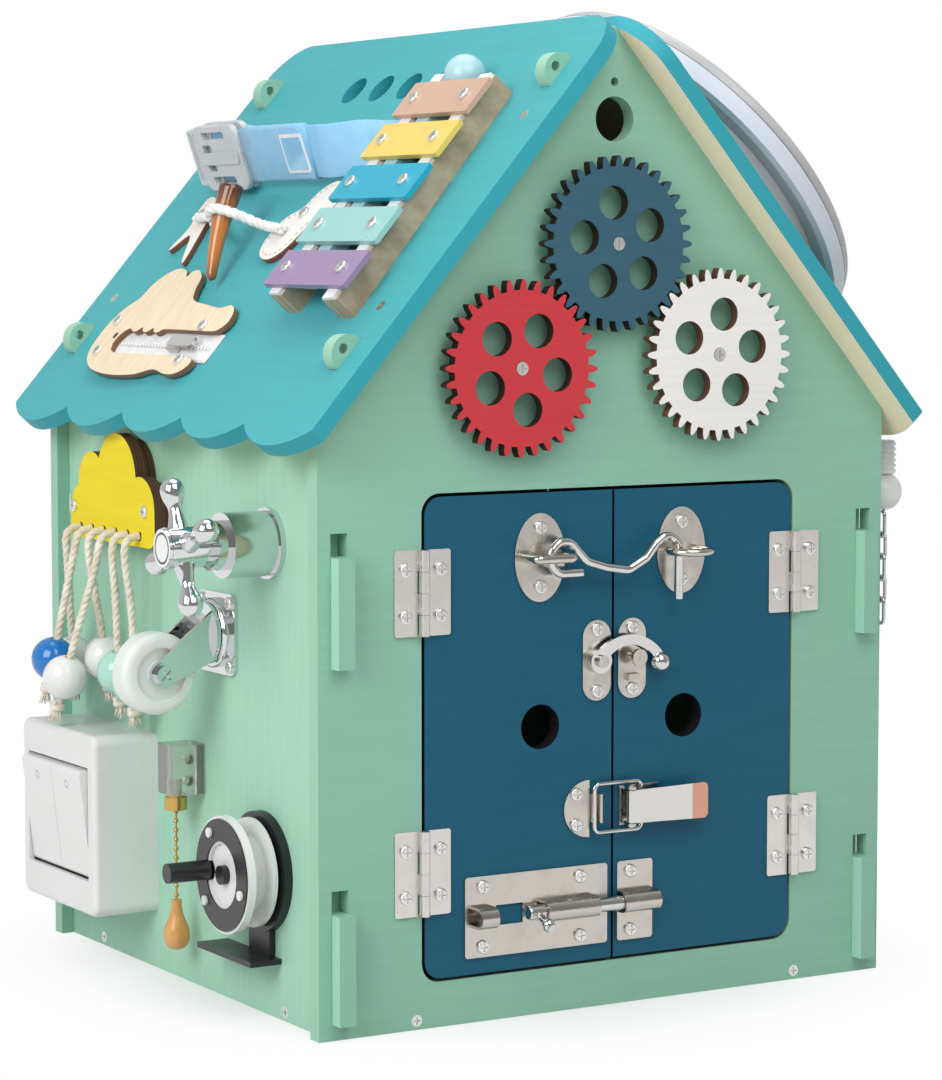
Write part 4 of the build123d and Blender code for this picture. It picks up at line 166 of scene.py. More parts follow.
def board_material(name, face, edge, axis, grain, back=None, rough=0.52, ply=None):
    """Painted plywood: the face colour across an axis, another colour on its edges, fine grain."""
    mat, tree, shader = new_material(name, face, rough, Specular_IOR_Level=0.28)
    point = object_point(tree)
    streak = noise_of(tree, scaled(tree, point, grain), 1.0, 5.0, 0.6)
    cloud = noise_of(tree, point, 14.0, 2.0)
    speck = noise_of(tree, point, 1500.0, 2.0)
    tone = shade(face, 0.965)
    light = tuple(min(1.0, c * 1.02 + 0.002) for c in face)
    color = mix(tree, ramp(tree, streak, 0.35, 0.68), tone, light)
    color = mix(tree, ramp(tree, cloud, 0.3, 0.75, 0.0, 0.35), color, light)
    turn = facing(tree, axis)
    side = ramp(tree, math_of(tree, "ABSOLUTE", turn), 0.45, 0.7, 1.0, 0.0)
    edge_color = edge
    if ply:
        layer = along(tree, point, axis)
        bands = math_of(tree, "SINE", math_of(tree, "MULTIPLY", layer, 2 * math.pi / ply))
        edge_color = mix(tree, ramp(tree, bands, -0.3, 0.5), edge, shade(edge, 0.62))
    color = mix(tree, side, color, edge_color)
    if back is not None:
        color = mix(tree, ramp(tree, turn, -0.7, -0.45, 1.0, 0.0), color, back)
    tree.links.new(color, shader.inputs["Base Color"])
    shine = ramp(tree, speck, 0.3, 0.7, rough - 0.06, rough + 0.08)
    tree.links.new(shine, shader.inputs["Roughness"])
    first = bump(tree, shader, streak, GRAIN_DEPTH, 0.8)
    bump(tree, shader, speck, 8e-6, 0.6, first)
    return mat


def wood_material(name, light, dark, grain, rough=0.55, edge=None, axis=None):
    """Bare wood with long grain; an edge colour where it was cut by heat."""
    mat, tree, shader = new_material(name, light, rough)
    point = object_point(tree)
    base = scaled(tree, point, grain)
    warp = noise_of(tree, base, 1.0, 6.0, 0.65)
    pores = noise_of(tree, scaled(tree, base, (2.5, 2.5, 2.5)), 1.0, 3.0, 0.7)
    color = mix(tree, ramp(tree, warp, 0.3, 0.7), dark, light)
    color = mix(tree, ramp(tree, pores, 0.6, 0.8, 0.0, 0.35), color, shade(dark, 0.6))
    if edge is not None:
        turn = math_of(tree, "ABSOLUTE", facing(tree, axis))
        color = mix(tree, ramp(tree, turn, 0.45, 0.75, 1.0, 0.0), color, edge)
    tree.links.new(color, shader.inputs["Base Color"])
    bump(tree, shader, warp, 5e-5, 0.7)
    return mat


def metal_material(name, color, rough, wear=0.06):
    """Plated metal with faint smears; wear is how far they change the roughness."""
    mat, tree, shader = new_material(name, color, rough, 1.0)
    point = object_point(tree)
    smear = noise_of(tree, point, 90.0, 4.0, 0.6)
    shine = ramp(tree, smear, 0.3, 0.75, max(0.03, rough - wear), rough + wear)
    tree.links.new(shine, shader.inputs["Roughness"])
    tree.links.new(mix(tree, smear, shade(color, 0.93), color), shader.inputs["Base Color"])
    bump(tree, shader, smear, 1.5e-5, 0.4)
    return mat


def plastic_material(name, color, rough=0.25, grain=900.0, depth=6e-6, **sockets):
    """Moulded plastic with a faint skin texture and tone."""
    mat, tree, shader = new_material(name, color, rough, **sockets)
    point = object_point(tree)
    skin = noise_of(tree, point, grain, 2.0)
    tone = noise_of(tree, point, 25.0, 2.0)
    soft = mix(tree, ramp(tree, tone, 0.3, 0.7), shade(color, 0.96), color)
    tree.links.new(soft, shader.inputs["Base Color"])
    shine = ramp(tree, tone, 0.3, 0.7, rough * 0.9, rough * 1.15)
    tree.links.new(shine, shader.inputs["Roughness"])
    bump(tree, shader, skin, depth, 0.5)
    return mat


def dress(node, mat, bevel=0.0):
    """Gives a carried-over node its material, and a soft edge when it asks for one."""
    obj = NODES[node]
    obj.data.materials.clear()
    obj.data.materials.append(mat)
    if bevel:
        rounded = obj.modifiers.new("soft_edge", "BEVEL")
        rounded.width = bevel * MM
        rounded.segments = 2
        rounded.limit_method = "ANGLE"
        rounded.angle_limit = EDGE_ANGLE
        rounded.harden_normals = False


# Mesh helpers


def mesh_piece(name, verts, faces, mat, uvs=None):
    """A mesh object from points in mm."""
    mesh = bpy.data.meshes.new(name)
    mesh.from_pydata([tuple(Vector(v) * MM) for v in verts], [], faces)
    if uvs is not None:
        layer = mesh.uv_layers.new(name="UVMap")
        for loop in mesh.loops:
            layer.data[loop.index].uv = uvs[loop.vertex_index]
    mesh.polygons.foreach_set("use_smooth", [True] * len(mesh.polygons))
    mesh.update()
    return finish_piece(name, mesh, mat)


def finish_piece(name, mesh, mat):
    """A piece of the standing house, with its material."""
    obj = bpy.data.objects.new(name, mesh)
    bpy.context.scene.collection.objects.link(obj)
    obj.data.materials.append(mat)
    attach(obj, "root")
    return obj


def frame_on(origin, x_dir, z_dir):
    """A 4x4 matrix with its origin in mm and its X and Z directions."""
    z_dir = z_dir.normalized()
    x_dir = (x_dir - z_dir * x_dir.dot(z_dir)).normalized()
    y_dir = z_dir.cross(x_dir)
    matrix = Matrix((x_dir, y_dir, z_dir)).transposed().to_4x4()
    matrix.translation = origin
    return matrix


def frames_along(points):
    """Steady frames along a line of points: (point, side, other side)."""
    runs = [(b - a).normalized() for a, b in zip(points, points[1:])]
    tangents = [runs[0]]
    tangents += [(a + b).normalized() for a, b in zip(runs, runs[1:])]
    tangents.append(runs[-1])
    side = tangents[0].orthogonal().normalized()
    frames = []
    for point, tangent in zip(points, tangents):
        side = (side - tangent * side.dot(tangent)).normalized()
        frames.append((point, side, tangent.cross(side)))
    return frames


def tube_mesh(verts, faces, points, radii, sides):
    """Adds a capped tube along points to the lists of verts and faces."""
    start = len(verts)
    frames = frames_along(points)
    for (point, a, b), radius in zip(frames, radii):
        for k in range(sides):
            turn = 2 * math.pi * k / sides
            verts.append(point + (a * math.cos(turn) + b * math.sin(turn)) * radius)
    for i in range(len(points) - 1):
        for k in range(sides):
            p = start + i * sides + k
            q = start + i * sides + (k + 1) % sides
            faces.append((p, q, q + sides, p + sides))
    faces.append(tuple(reversed(range(start, start + sides))))
    last = start + (len(points) - 1) * sides
    faces.append(tuple(range(last, last + sides)))


LATHE_SEGMENTS = 48
CIRCLE_STEPS = 28
MERGE_DISTANCE = 1e-6


def lathe(name, profile, matrix, mat):
    """Turns a profile of (radius, height) round the matrix's Z; the profile is a closed loop."""
    verts, faces = [], []
    count = len(profile)
    for k in range(LATHE_SEGMENTS):
        turn = 2 * math.pi * k / LATHE_SEGMENTS
        for radius, height in profile:
            local = Vector((radius * math.cos(turn), radius * math.sin(turn), height))
            verts.append(matrix @ local)
    for k in range(LATHE_SEGMENTS):
        after = (k + 1) % LATHE_SEGMENTS
        for i in range(count):
            a = k * count + i
            b = k * count + (i + 1) % count
            c = after * count + (i + 1) % count
            d = after * count + i
            faces.append((a, d, c, b))
    obj = mesh_piece(name, verts, faces, mat)
    clean(obj)
    return obj


def clean(obj):
    """Merges doubled points and turns the faces outward."""
    work = bmesh.new()
    work.from_mesh(obj.data)
    bmesh.ops.remove_doubles(work, verts=work.verts, dist=MERGE_DISTANCE)
    bmesh.ops.recalc_face_normals(work, faces=work.faces)
    work.to_mesh(obj.data)
    work.free()


def smooth_loop(points, steps):
    """A closed Catmull-Rom line through 2D points."""
    out = []
    count = len(points)
    for i in range(count):
        p0, p1, p2, p3 = (Vector(points[(i + k - 1) % count]) for k in range(4))
        for step in range(steps):
            t = step / steps
            a = p1 * 2 + (p2 - p0) * t
            b = (p0 * 2 - p1 * 5 + p2 * 4 - p3) * t**2
            c = (p1 * 3 - p0 - p2 * 3 + p3) * t**3
            out.append((a + b + c) / 2)
    return out


def circle_loop(x, y, radius):
    """A circle as a loop of 2D points."""
    turns = [2 * math.pi * k / CIRCLE_STEPS for k in range(CIRCLE_STEPS)]
    return [Vector((x + radius * math.cos(t), y + radius * math.sin(t))) for t in turns]


def plate(name, loops, matrix, thickness, mat, bevel=0.25):
    """A flat plate from 2D loops in mm, holes by the even-odd rule, standing on the matrix's XY."""
    curve = bpy.data.curves.new(name, "CURVE")
    curve.dimensions = "2D"
    curve.fill_mode = "BOTH"
    for loop in loops:
        spline = curve.splines.new("POLY")
        spline.points.add(len(loop) - 1)
        for target, (x, y) in zip(spline.points, loop):
            target.co = (x, y, 0, 1)
        spline.use_cyclic_u = True
    curve.extrude = thickness / 2 - bevel
    curve.bevel_depth = bevel
    curve.offset = -bevel
    curve.bevel_resolution = 1
    holder = bpy.data.objects.new(name + "_outline", curve)
    bpy.context.scene.collection.objects.link(holder)
    bpy.context.view_layer.update()
    mesh = bpy.data.meshes.new_from_object(holder)
    bpy.data.objects.remove(holder)
    mesh.transform(Matrix.Translation((0, 0, thickness / 2)))
    mesh.transform(matrix)
    mesh.transform(Matrix.Scale(MM, 4))
    mesh.materials.clear()
    obj = finish_piece(name, mesh, mat)
    clean(obj)
    return obj


def nurbs_line(name, points):
    """The smooth line of a route, in mm: a NURBS spline with the route's points as its controls."""
    curve = bpy.data.curves.new(name, "CURVE")
    curve.dimensions = "3D"
    spline = curve.splines.new("NURBS")
    spline.points.add(len(points) - 1)
    for target, point in zip(spline.points, points):
        target.co = (*(point * MM), 1)
    spline.order_u = 3
    spline.use_endpoint_u = True
    curve.resolution_u = 16
    holder = bpy.data.objects.new(name, curve)
    bpy.context.scene.collection.objects.link(holder)
    bpy.context.view_layer.update()
    mesh = bpy.data.meshes.new_from_object(holder)
    line = [v.co / MM for v in mesh.vertices]
    bpy.data.objects.remove(holder)
    bpy.data.meshes.remove(mesh)
    return line


def resample(line, step):
    """Even points along a line, ends kept."""
    total = sum((b - a).length for a, b in zip(line, line[1:]))
    count = max(2, round(total / step))
    wanted = [total * k / count for k in range(count + 1)]
    out, done, i = [], 0.0, 0
    for distance in wanted:
        while i < len(line) - 2 and done + (line[i + 1] - line[i]).length < distance:
            done += (line[i + 1] - line[i]).length
            i += 1
        run = line[i + 1] - line[i]
        share = (distance - done) / run.length if run.length else 0.0
        out.append(line[i] + run * min(1.0, share))
    return out


STRANDS = 3
STRAND_SIDES = 8
STRAND_WOBBLE = 0.05
ROPE_STEP_SHARE = 0.22


def twisted_rope(name, route, diameter, pitch, strand, mat, node):
    """A laid rope along a route, standing in for the node it hides; strand is a strand's radius over the
    diameter.
    """
    line = resample(nurbs_line(name + "_line", route), diameter * ROPE_STEP_SHARE)
    frames = frames_along(line)
    strand_radius = diameter * strand
    orbit = diameter / 2 - strand_radius
    verts, faces = [], []
    step = (line[1] - line[0]).length
    for number in range(STRANDS):
        path = []
        for i, (point, a, b) in enumerate(frames):
            turn = 2 * math.pi * (i * step / pitch + number / STRANDS)
            path.append(point + (a * math.cos(turn) + b * math.sin(turn)) * orbit)
        wobble = [strand_radius * (1 + STRAND_WOBBLE * noise.noise(p * 0.9)) for p in path]
        tube_mesh(verts, faces, path, wobble, STRAND_SIDES)
    obj = mesh_piece(name, verts, faces, mat)
    clean(obj)
    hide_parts(node)


# Materials

# One mint paint in painted-light copies: MINT on faces toward the front, a lighter copy with painted light on
# the wall faces that face left, and one between them on the gables' edges
MINT = (0.265, 0.515, 0.385)
MINT_LIT_LEFT = (0.375, 0.65, 0.49)
MINT_LIT_EDGE = (0.33, 0.58, 0.43)
ROOF_TOP = (0.066, 0.378, 0.408)
ROOF_EDGE = (0.034, 0.34, 0.40)
CREAM = (0.93, 0.80, 0.60)
DOOR = (0.004, 0.098, 0.168)
BURNT = (0.022, 0.011, 0.008)
BURNT_SOFT = (0.12, 0.055, 0.03)
WHITE_PLASTIC = (0.80, 0.80, 0.78)
BRASS_COLOR = (0.62, 0.40, 0.12)

# The left-facing wall face and the gables' edges take the lighter mint copies: painted light, as if lit from
# the left
mint_front = board_material("mint_front", MINT, MINT_LIT_EDGE, FRONT_OUT, (18, 300, 260), back=CREAM)
mint_rear = board_material("mint_rear", MINT, MINT_LIT_EDGE, FRONT_OUT, (18, 300, 260))
mint_wall = board_material("mint_wall", MINT_LIT_LEFT, MINT, LEFT_OUT, (300, 260, 18))
roof_left_paint = board_material("roof_left_paint", ROOF_TOP, ROOF_EDGE, ROOF_OUT, (260, 16, 260), CREAM)
roof_right_paint = board_material("roof_right_paint", ROOF_TOP, ROOF_EDGE, RIGHT_OUT, (260, 16, 260), CREAM)
door_paint = board_material("door_paint", DOOR, (0.012, 0.012, 0.016), FRONT_OUT, (14, 300, 300), rough=0.42)
floor_wood = wood_material("floor_wood", (0.70, 0.55, 0.36), (0.56, 0.40, 0.24), (16, 240, 240))
gear_red = board_material("gear_red", (0.58, 0.042, 0.052), BURNT, FRONT_OUT, (30, 500, 500))
gear_blue = board_material("gear_blue", (0.034, 0.11, 0.155), BURNT, FRONT_OUT, (30, 500, 500))
gear_white = board_material("gear_white", (0.83, 0.81, 0.77), BURNT_SOFT, FRONT_OUT, (30, 500, 500))
cloud_paint = board_material(
    "cloud_paint", (0.86, 0.68, 0.012), BURNT_SOFT, LEFT_OUT, (300, 30, 300), ply=0.0017
)
zinc = metal_material("zinc", (0.86, 0.85, 0.83), 0.34)
satin_steel = metal_material("satin_steel", (0.76, 0.73, 0.69), 0.30)
nickel = metal_material("nickel", (0.60, 0.57, 0.52), 0.24, wear=0.12)
bright_nickel = metal_material("bright_nickel", (0.70, 0.69, 0.67), 0.13)
chrome = metal_material("chrome", (0.74, 0.75, 0.76), 0.07, wear=0.03)
brass = metal_material("brass", BRASS_COLOR, 0.22)
milky = plastic_material("milky", (0.80, 0.80, 0.76), 0.3, Subsurface_Weight=0.3)
switch_white = plastic_material("switch_white", (0.79, 0.79, 0.77), 0.24)
clear = plastic_material("clear", (0.74, 0.76, 0.70), 0.12, Transmission_Weight=0.75, IOR=1.45)
drop_wood = wood_material("drop_wood", (0.74, 0.40, 0.13), (0.58, 0.27, 0.07), (240, 240, 30), 0.28)
black = plastic_material("black", (0.014, 0.014, 0.016), 0.34, 700.0, 1.5e-5)
spool_white = plastic_material("spool_white", (0.78, 0.78, 0.76), 0.28)
rail_wood = wood_material("rail_wood", (0.52, 0.40, 0.27), (0.30, 0.21, 0.13), (40, 500, 40), 0.5)
ball_paint = plastic_material("ball_paint", (0.40, 0.62, 0.66), 0.22)
frosted = plastic_material("frosted", (0.74, 0.77, 0.79), 0.3, Transmission_Weight=0.35)
ring_plastic = plastic_material("ring_plastic", (0.62, 0.66, 0.73), 0.3)
cap_plastic = plastic_material("cap_plastic", (0.46, 0.46, 0.46), 0.26)


def fibre_material(name, low, high, rough, sheen, patch, fuzz, depth, strength):
    """Cotton or soft rope: two tones in patches, under a fuzz of fibres."""
    mat, tree, shader = new_material(name, high, rough, Sheen_Weight=sheen)
    point = object_point(tree)
    tone = noise_of(tree, point, patch, 3.0)
    tree.links.new(mix(tree, ramp(tree, tone, 0.3, 0.7), low, high), shader.inputs["Base Color"])
    bump(tree, shader, noise_of(tree, point, fuzz, 3.0), depth, strength)
    return mat


def fluffy_material(name, low, high):
    """White soft rope, with a strong fuzz."""
    return fibre_material(name, low, high, 0.9, 0.5, 220.0, 3000.0, 2e-4, 0.9)


WEAVE_CELL = 1.0


def webbing_material(name, low, high):
    """Woven satin webbing: a twill in the ribbon's own UVs, given in mm."""
    mat, tree, shader = new_material(name, high, 0.42, Sheen_Weight=0.25)
    uv = add(tree, "ShaderNodeTexCoord").outputs["UV"]
    parts = add(tree, "ShaderNodeSeparateXYZ", {"Vector": uv})
    length, width = parts.outputs["X"], parts.outputs["Y"]
    diagonal = math_of(tree, "ADD", length, width)
    twill = math_of(tree, "SINE", math_of(tree, "MULTIPLY", diagonal, 2 * math.pi / WEAVE_CELL))
    cross = math_of(tree, "SINE", math_of(tree, "MULTIPLY", width, 4 * math.pi / WEAVE_CELL))
    weave = math_of(tree, "ADD", twill, math_of(tree, "MULTIPLY", cross, 0.5))
    tone = noise_of(tree, uv, 0.12, 3.0)
    color = mix(tree, ramp(tree, weave, -1.2, 1.2), low, high)
    color = mix(tree, ramp(tree, tone, 0.35, 0.7, 0.0, 0.35), color, low)
    tree.links.new(color, shader.inputs["Base Color"])
    bump(tree, shader, weave, 6e-5, 0.6)
    return mat


def leather_material(name, face, edge, axis):
    """White leather with pebbled skin and a dyed edge."""
    mat, tree, shader = new_material(name, face, 0.5)
    point = object_point(tree)
    pebble = add(tree, "ShaderNodeTexVoronoi", {"Vector": point, "Scale": 1100.0}).outputs["Distance"]
    tone = noise_of(tree, point, 60.0)
    color = mix(tree, ramp(tree, tone, 0.3, 0.7), shade(face, 0.93), face)
    side = ramp(tree, math_of(tree, "ABSOLUTE", facing(tree, axis)), 0.5, 0.85, 1.0, 0.0)
    tree.links.new(mix(tree, side, color, edge), shader.inputs["Base Color"])
    bump(tree, shader, pebble, 5e-5, 0.5)
    return mat


def horn_material():
    """Polished horn: dark brown running to amber, with fine streaks along it."""
    mat, tree, shader = new_material("horn", (0.12, 0.035, 0.01), 0.12, Coat_Weight=0.6)
    uv = add(tree, "ShaderNodeTexCoord").outputs["UV"]
    streak = noise_of(tree, scaled(tree, uv, (1.2, 26, 1)), 1.0, 4.0, 0.6)
    parts = add(tree, "ShaderNodeSeparateXYZ", {"Vector": uv})
    place = math_of(tree, "ADD", parts.outputs["X"], math_of(tree, "MULTIPLY", streak, 0.45))
    color = mix(tree, ramp(tree, place, 0.25, 0.75), (0.085, 0.022, 0.008), (0.50, 0.17, 0.035))
    color = mix(tree, ramp(tree, place, 0.95, 1.3), color, (0.16, 0.05, 0.015))
    color = mix(tree, ramp(tree, streak, 0.55, 0.75, 0.0, 0.5), color, (0.62, 0.34, 0.12))
    tree.links.new(color, shader.inputs["Base Color"])
    bump(tree, shader, streak, 3e-5, 0.3)
    return mat


def radial(tree, point, origin, axis):
    """Distance of a point from a line, in metres."""
    inputs = {0: point, 1: tuple(origin * MM)}
    offset = add(tree, "ShaderNodeVectorMath", inputs, operation="SUBTRACT").outputs[0]
    inputs = {0: offset, 1: tuple(axis)}
    crossed = add(tree, "ShaderNodeVectorMath", inputs, operation="CROSS_PRODUCT").outputs[0]
    return add(tree, "ShaderNodeVectorMath", {0: crossed}, operation="LENGTH").outputs["Value"]


def over(tree, value, limit, soft=0.05):
    """One where a value in metres is over a limit in mm."""
    return ramp(tree, value, (limit - soft) * MM, (limit + soft) * MM)


def under(tree, value, limit):
    """One where a value in metres is under a limit in mm."""
    return math_of(tree, "SUBTRACT", 1.0, over(tree, value, limit))


def both(tree, first, second):
    """One where two masks are both one."""
    return math_of(tree, "MULTIPLY", first, second)


def between(tree, value, low, high):
    """One where a value in metres is between two limits in mm."""
    return both(tree, over(tree, value, low), under(tree, value, high))


def place_along(tree, axis):
    """How far along an axis a point of the piece lies, in metres."""
    return along(tree, object_point(tree), axis)


def base_color_of(shader):
    """What feeds a shader's base colour now."""
    socket = shader.inputs["Base Color"]
    return socket.links[0].from_socket if socket.links else tuple(socket.default_value)[:3]


def repaint(mat, mask_of, color, rough=None, metal=None):
    """Lays another colour, roughness and metal over part of a material; mask_of makes the mask."""
    tree = mat.node_tree
    shader = tree.nodes["Principled BSDF"]
    mask = mask_of(tree)
    tree.links.new(mix(tree, mask, base_color_of(shader), color), shader.inputs["Base Color"])
    for key, value in (("Roughness", rough), ("Metallic", metal)):
        if value is None:
            continue
        socket = shader.inputs[key]
        before = socket.links[0].from_socket if socket.links else socket.default_value
        blend = add(tree, "ShaderNodeMix", {0: mask, 2: before, 3: value})
        tree.links.new(blend.outputs[0], socket)


cotton = fibre_material(
    "cotton", (0.70, 0.62, 0.48), (0.86, 0.81, 0.70), 0.85, 0.3, 160.0, 2600.0, 1.2e-4, 0.8
)
fluffy = fluffy_material("fluffy", (0.74, 0.73, 0.70), (0.90, 0.89, 0.86))
strap_fabric = webbing_material("strap_fabric", (0.16, 0.42, 0.66), (0.34, 0.64, 0.86))
patch_leather = leather_material("patch_leather", (0.84, 0.81, 0.76), (0.20, 0.045, 0.025), ROOF_OUT)
prong_leather = leather_material("prong_leather", (0.86, 0.80, 0.70), (0.20, 0.07, 0.04), ROOF_OUT)
thread_white = fluffy_material("thread_white", (0.60, 0.42, 0.34), (0.72, 0.55, 0.46))
horn = horn_material()
figure_wood = wood_material(
    "figure_wood", (0.84, 0.71, 0.52), (0.76, 0.60, 0.40), (60, 500, 60), 0.5, (0.20, 0.10, 0.05), ROOF_OUT
)
tape_fabric = fluffy_material("tape_fabric", (0.76, 0.76, 0.76), (0.88, 0.88, 0.88))
teeth_plastic = plastic_material("teeth_plastic", (0.82, 0.82, 0.82), 0.35)

BAR_COLORS = (
    (0.58, 0.37, 0.27),
    (0.76, 0.56, 0.13),
    (0.016, 0.355, 0.50),
    (0.30, 0.555, 0.52),
    (0.30, 0.218, 0.365),
)
BAR_FIRST = 60.7
BAR_PITCH = 25.2
bars_paint = plastic_material("bars_paint", BAR_COLORS[0], 0.30, 500.0, Specular_IOR_Level=0.3)
for bar_number, bar_color in enumerate(BAR_COLORS[1:]):
    bar_limit = BAR_FIRST + BAR_PITCH * (bar_number + 0.5)

    def below(tree, limit=bar_limit):
        """Down the slope from a line between two bars."""
        place = place_along(tree, -UP_SLOPE)
        ridge = -UP_SLOPE.dot(Vector((0, 0, APEX)))
        return over(tree, place, ridge + limit)

    repaint(bars_paint, below, bar_color)


RAIL_TOP = 12.02


def pad_zone(tree):
    """The white pads on top of the rails."""
    return over(tree, place_along(tree, ROOF_OUT), ROOF_OUT.dot(roof(0, 0, RAIL_TOP)))


repaint(rail_wood, pad_zone, WHITE_PLASTIC, 0.5)

SPOOL_AXIS = Vector((0, -77.0, 64.5))
SPOOL_FACE = -WALL_X + 21.0
SPOOL_BLACK = (0.015, 0.015, 0.017)
RING_INNER = 14.6
RING_OUTER = 25.2
RING_LOW = 0.05
RING_HIGH = 0.9
PEG_AXIS = SPOOL_AXIS + Vector((0, 15.3, 0))
PEG_REACH = 4.8
PEG_SUNK = 2.0
HUB_RISE = 3.0


def off_wall(tree):
    """How far off the house's middle a point lies to the left, in metres."""
    return place_along(tree, LEFT_OUT)


def from_axis(tree, axis_point):
    """Distance of a point from an axis square to the left wall, in metres."""
    return radial(tree, object_point(tree), axis_point, LEFT_OUT)


def ring_zone(tree):
    """The black ring on the spool's front."""
    around = between(tree, from_axis(tree, SPOOL_AXIS), RING_INNER, RING_OUTER)
    return both(tree, around, between(tree, off_wall(tree), SPOOL_FACE + RING_LOW, SPOOL_FACE + RING_HIGH))


def peg_zone(tree):
    """The crank peg down to the spool's face, and the head of the hub screw."""
    inside = under(tree, from_axis(tree, PEG_AXIS), PEG_REACH)
    peg = both(tree, inside, over(tree, off_wall(tree), SPOOL_FACE - PEG_SUNK))
    return math_of(tree, "MAXIMUM", peg, over(tree, off_wall(tree), SPOOL_FACE + HUB_RISE))


for zone in (ring_zone, peg_zone):
    repaint(spool_white, zone, SPOOL_BLACK, 0.3)

COLLAR_TOP = 90.4


def collar_zone(tree):
    """The brass collar under the clear housing."""
    return under(tree, place_along(tree, UP), COLLAR_TOP)


repaint(clear, collar_zone, BRASS_COLOR, 0.2, 1.0)

MARK_HEIGHT = 88.0
MARK_ALONG = (92.0, 58.0)
MARK_INNER = 1.3
MARK_OUTER = 2.1


def mark_zone(tree):
    """A small ring mark high on each rocker."""
    marks = [from_axis(tree, Vector((0, y, MARK_HEIGHT))) for y in MARK_ALONG]
    return between(tree, math_of(tree, "MINIMUM", *marks), MARK_INNER, MARK_OUTER)


rocker_white = plastic_material("rocker_white", (0.81, 0.81, 0.79), 0.22)
repaint(rocker_white, mark_zone, (0.45, 0.47, 0.48))

TAP_AXIS = Vector((0, -83.5, 211.5))
INDEX_FACE = -WALL_X + 51.1
INDEX_RADIUS = 8.2
INDEX_RING = (6.0, 7.0)
tap_chrome = metal_material("tap_chrome", (0.74, 0.75, 0.76), 0.07, wear=0.03)


def index_zone(tree):
    """The plain white button in the middle of the tap's handle."""
    inside = under(tree, from_axis(tree, TAP_AXIS), INDEX_RADIUS)
    return both(tree, over(tree, off_wall(tree), INDEX_FACE), inside)


def index_gap_shade_zone(tree):
    """Painted shade: a dark line in the gap round the button."""
    around = between(tree, from_axis(tree, TAP_AXIS), *INDEX_RING)
    return both(tree, over(tree, off_wall(tree), INDEX_FACE), around)


repaint(tap_chrome, index_zone, WHITE_PLASTIC, 0.3, 0.0)
# Painted shade: a near-black ring in the gap round the button
repaint(tap_chrome, index_gap_shade_zone, (0.03, 0.03, 0.035), 0.3, 0.0)

TIP_START = 38.5
lever_metal = metal_material("lever_metal", (0.70, 0.69, 0.67), 0.13)


def tip_zone(tree):
    """The copper-coloured finger tab of the draw latch."""
    return over(tree, place_along(tree, -LEFT_OUT), TIP_START)


repaint(lever_metal, tip_zone, (0.72, 0.38, 0.28), 0.3)

LINKS_TOP = 217.8
pendant_mat = plastic_material("pendant_mat", WHITE_PLASTIC, 0.25)


def links_zone(tree):
    """The metal chain under the white bulb."""
    return under(tree, place_along(tree, UP), LINKS_TOP)


repaint(pendant_mat, links_zone, (0.62, 0.62, 0.62), 0.2, 1.0)

ROOF_LEVEL = RIGHT_OUT.z * APEX + BOARD
FOOT_TOP = 14.0
SEAM = (23.2, 24.0)


def foot_zone(tree):
    """The grey foot of the push light, under its pale ring."""
    return under(tree, place_along(tree, RIGHT_OUT), ROOF_LEVEL + FOOT_TOP)


def seam_shade_zone(tree):
    """Painted shade: a dark line in the gap between the ring and the cap."""
    low, high = (ROOF_LEVEL + off for off in SEAM)
    return between(tree, place_along(tree, RIGHT_OUT), low, high)


repaint(ring_plastic, foot_zone, (0.40, 0.41, 0.42))
# Painted shade in the gap between the ring and the cap, laid on both shells
for shell in (ring_plastic, cap_plastic):
    repaint(shell, seam_shade_zone, (0.10, 0.10, 0.10))

BEAD_COLORS = {
    "blue": (0.006, 0.17, 0.52),
    "white": WHITE_PLASTIC,
    "mint": (0.42, 0.72, 0.60),
}
bead_paints = {
    key: plastic_material("bead_" + key, color, 0.16, Coat_Weight=0.4) for key, color in BEAD_COLORS.items()
}


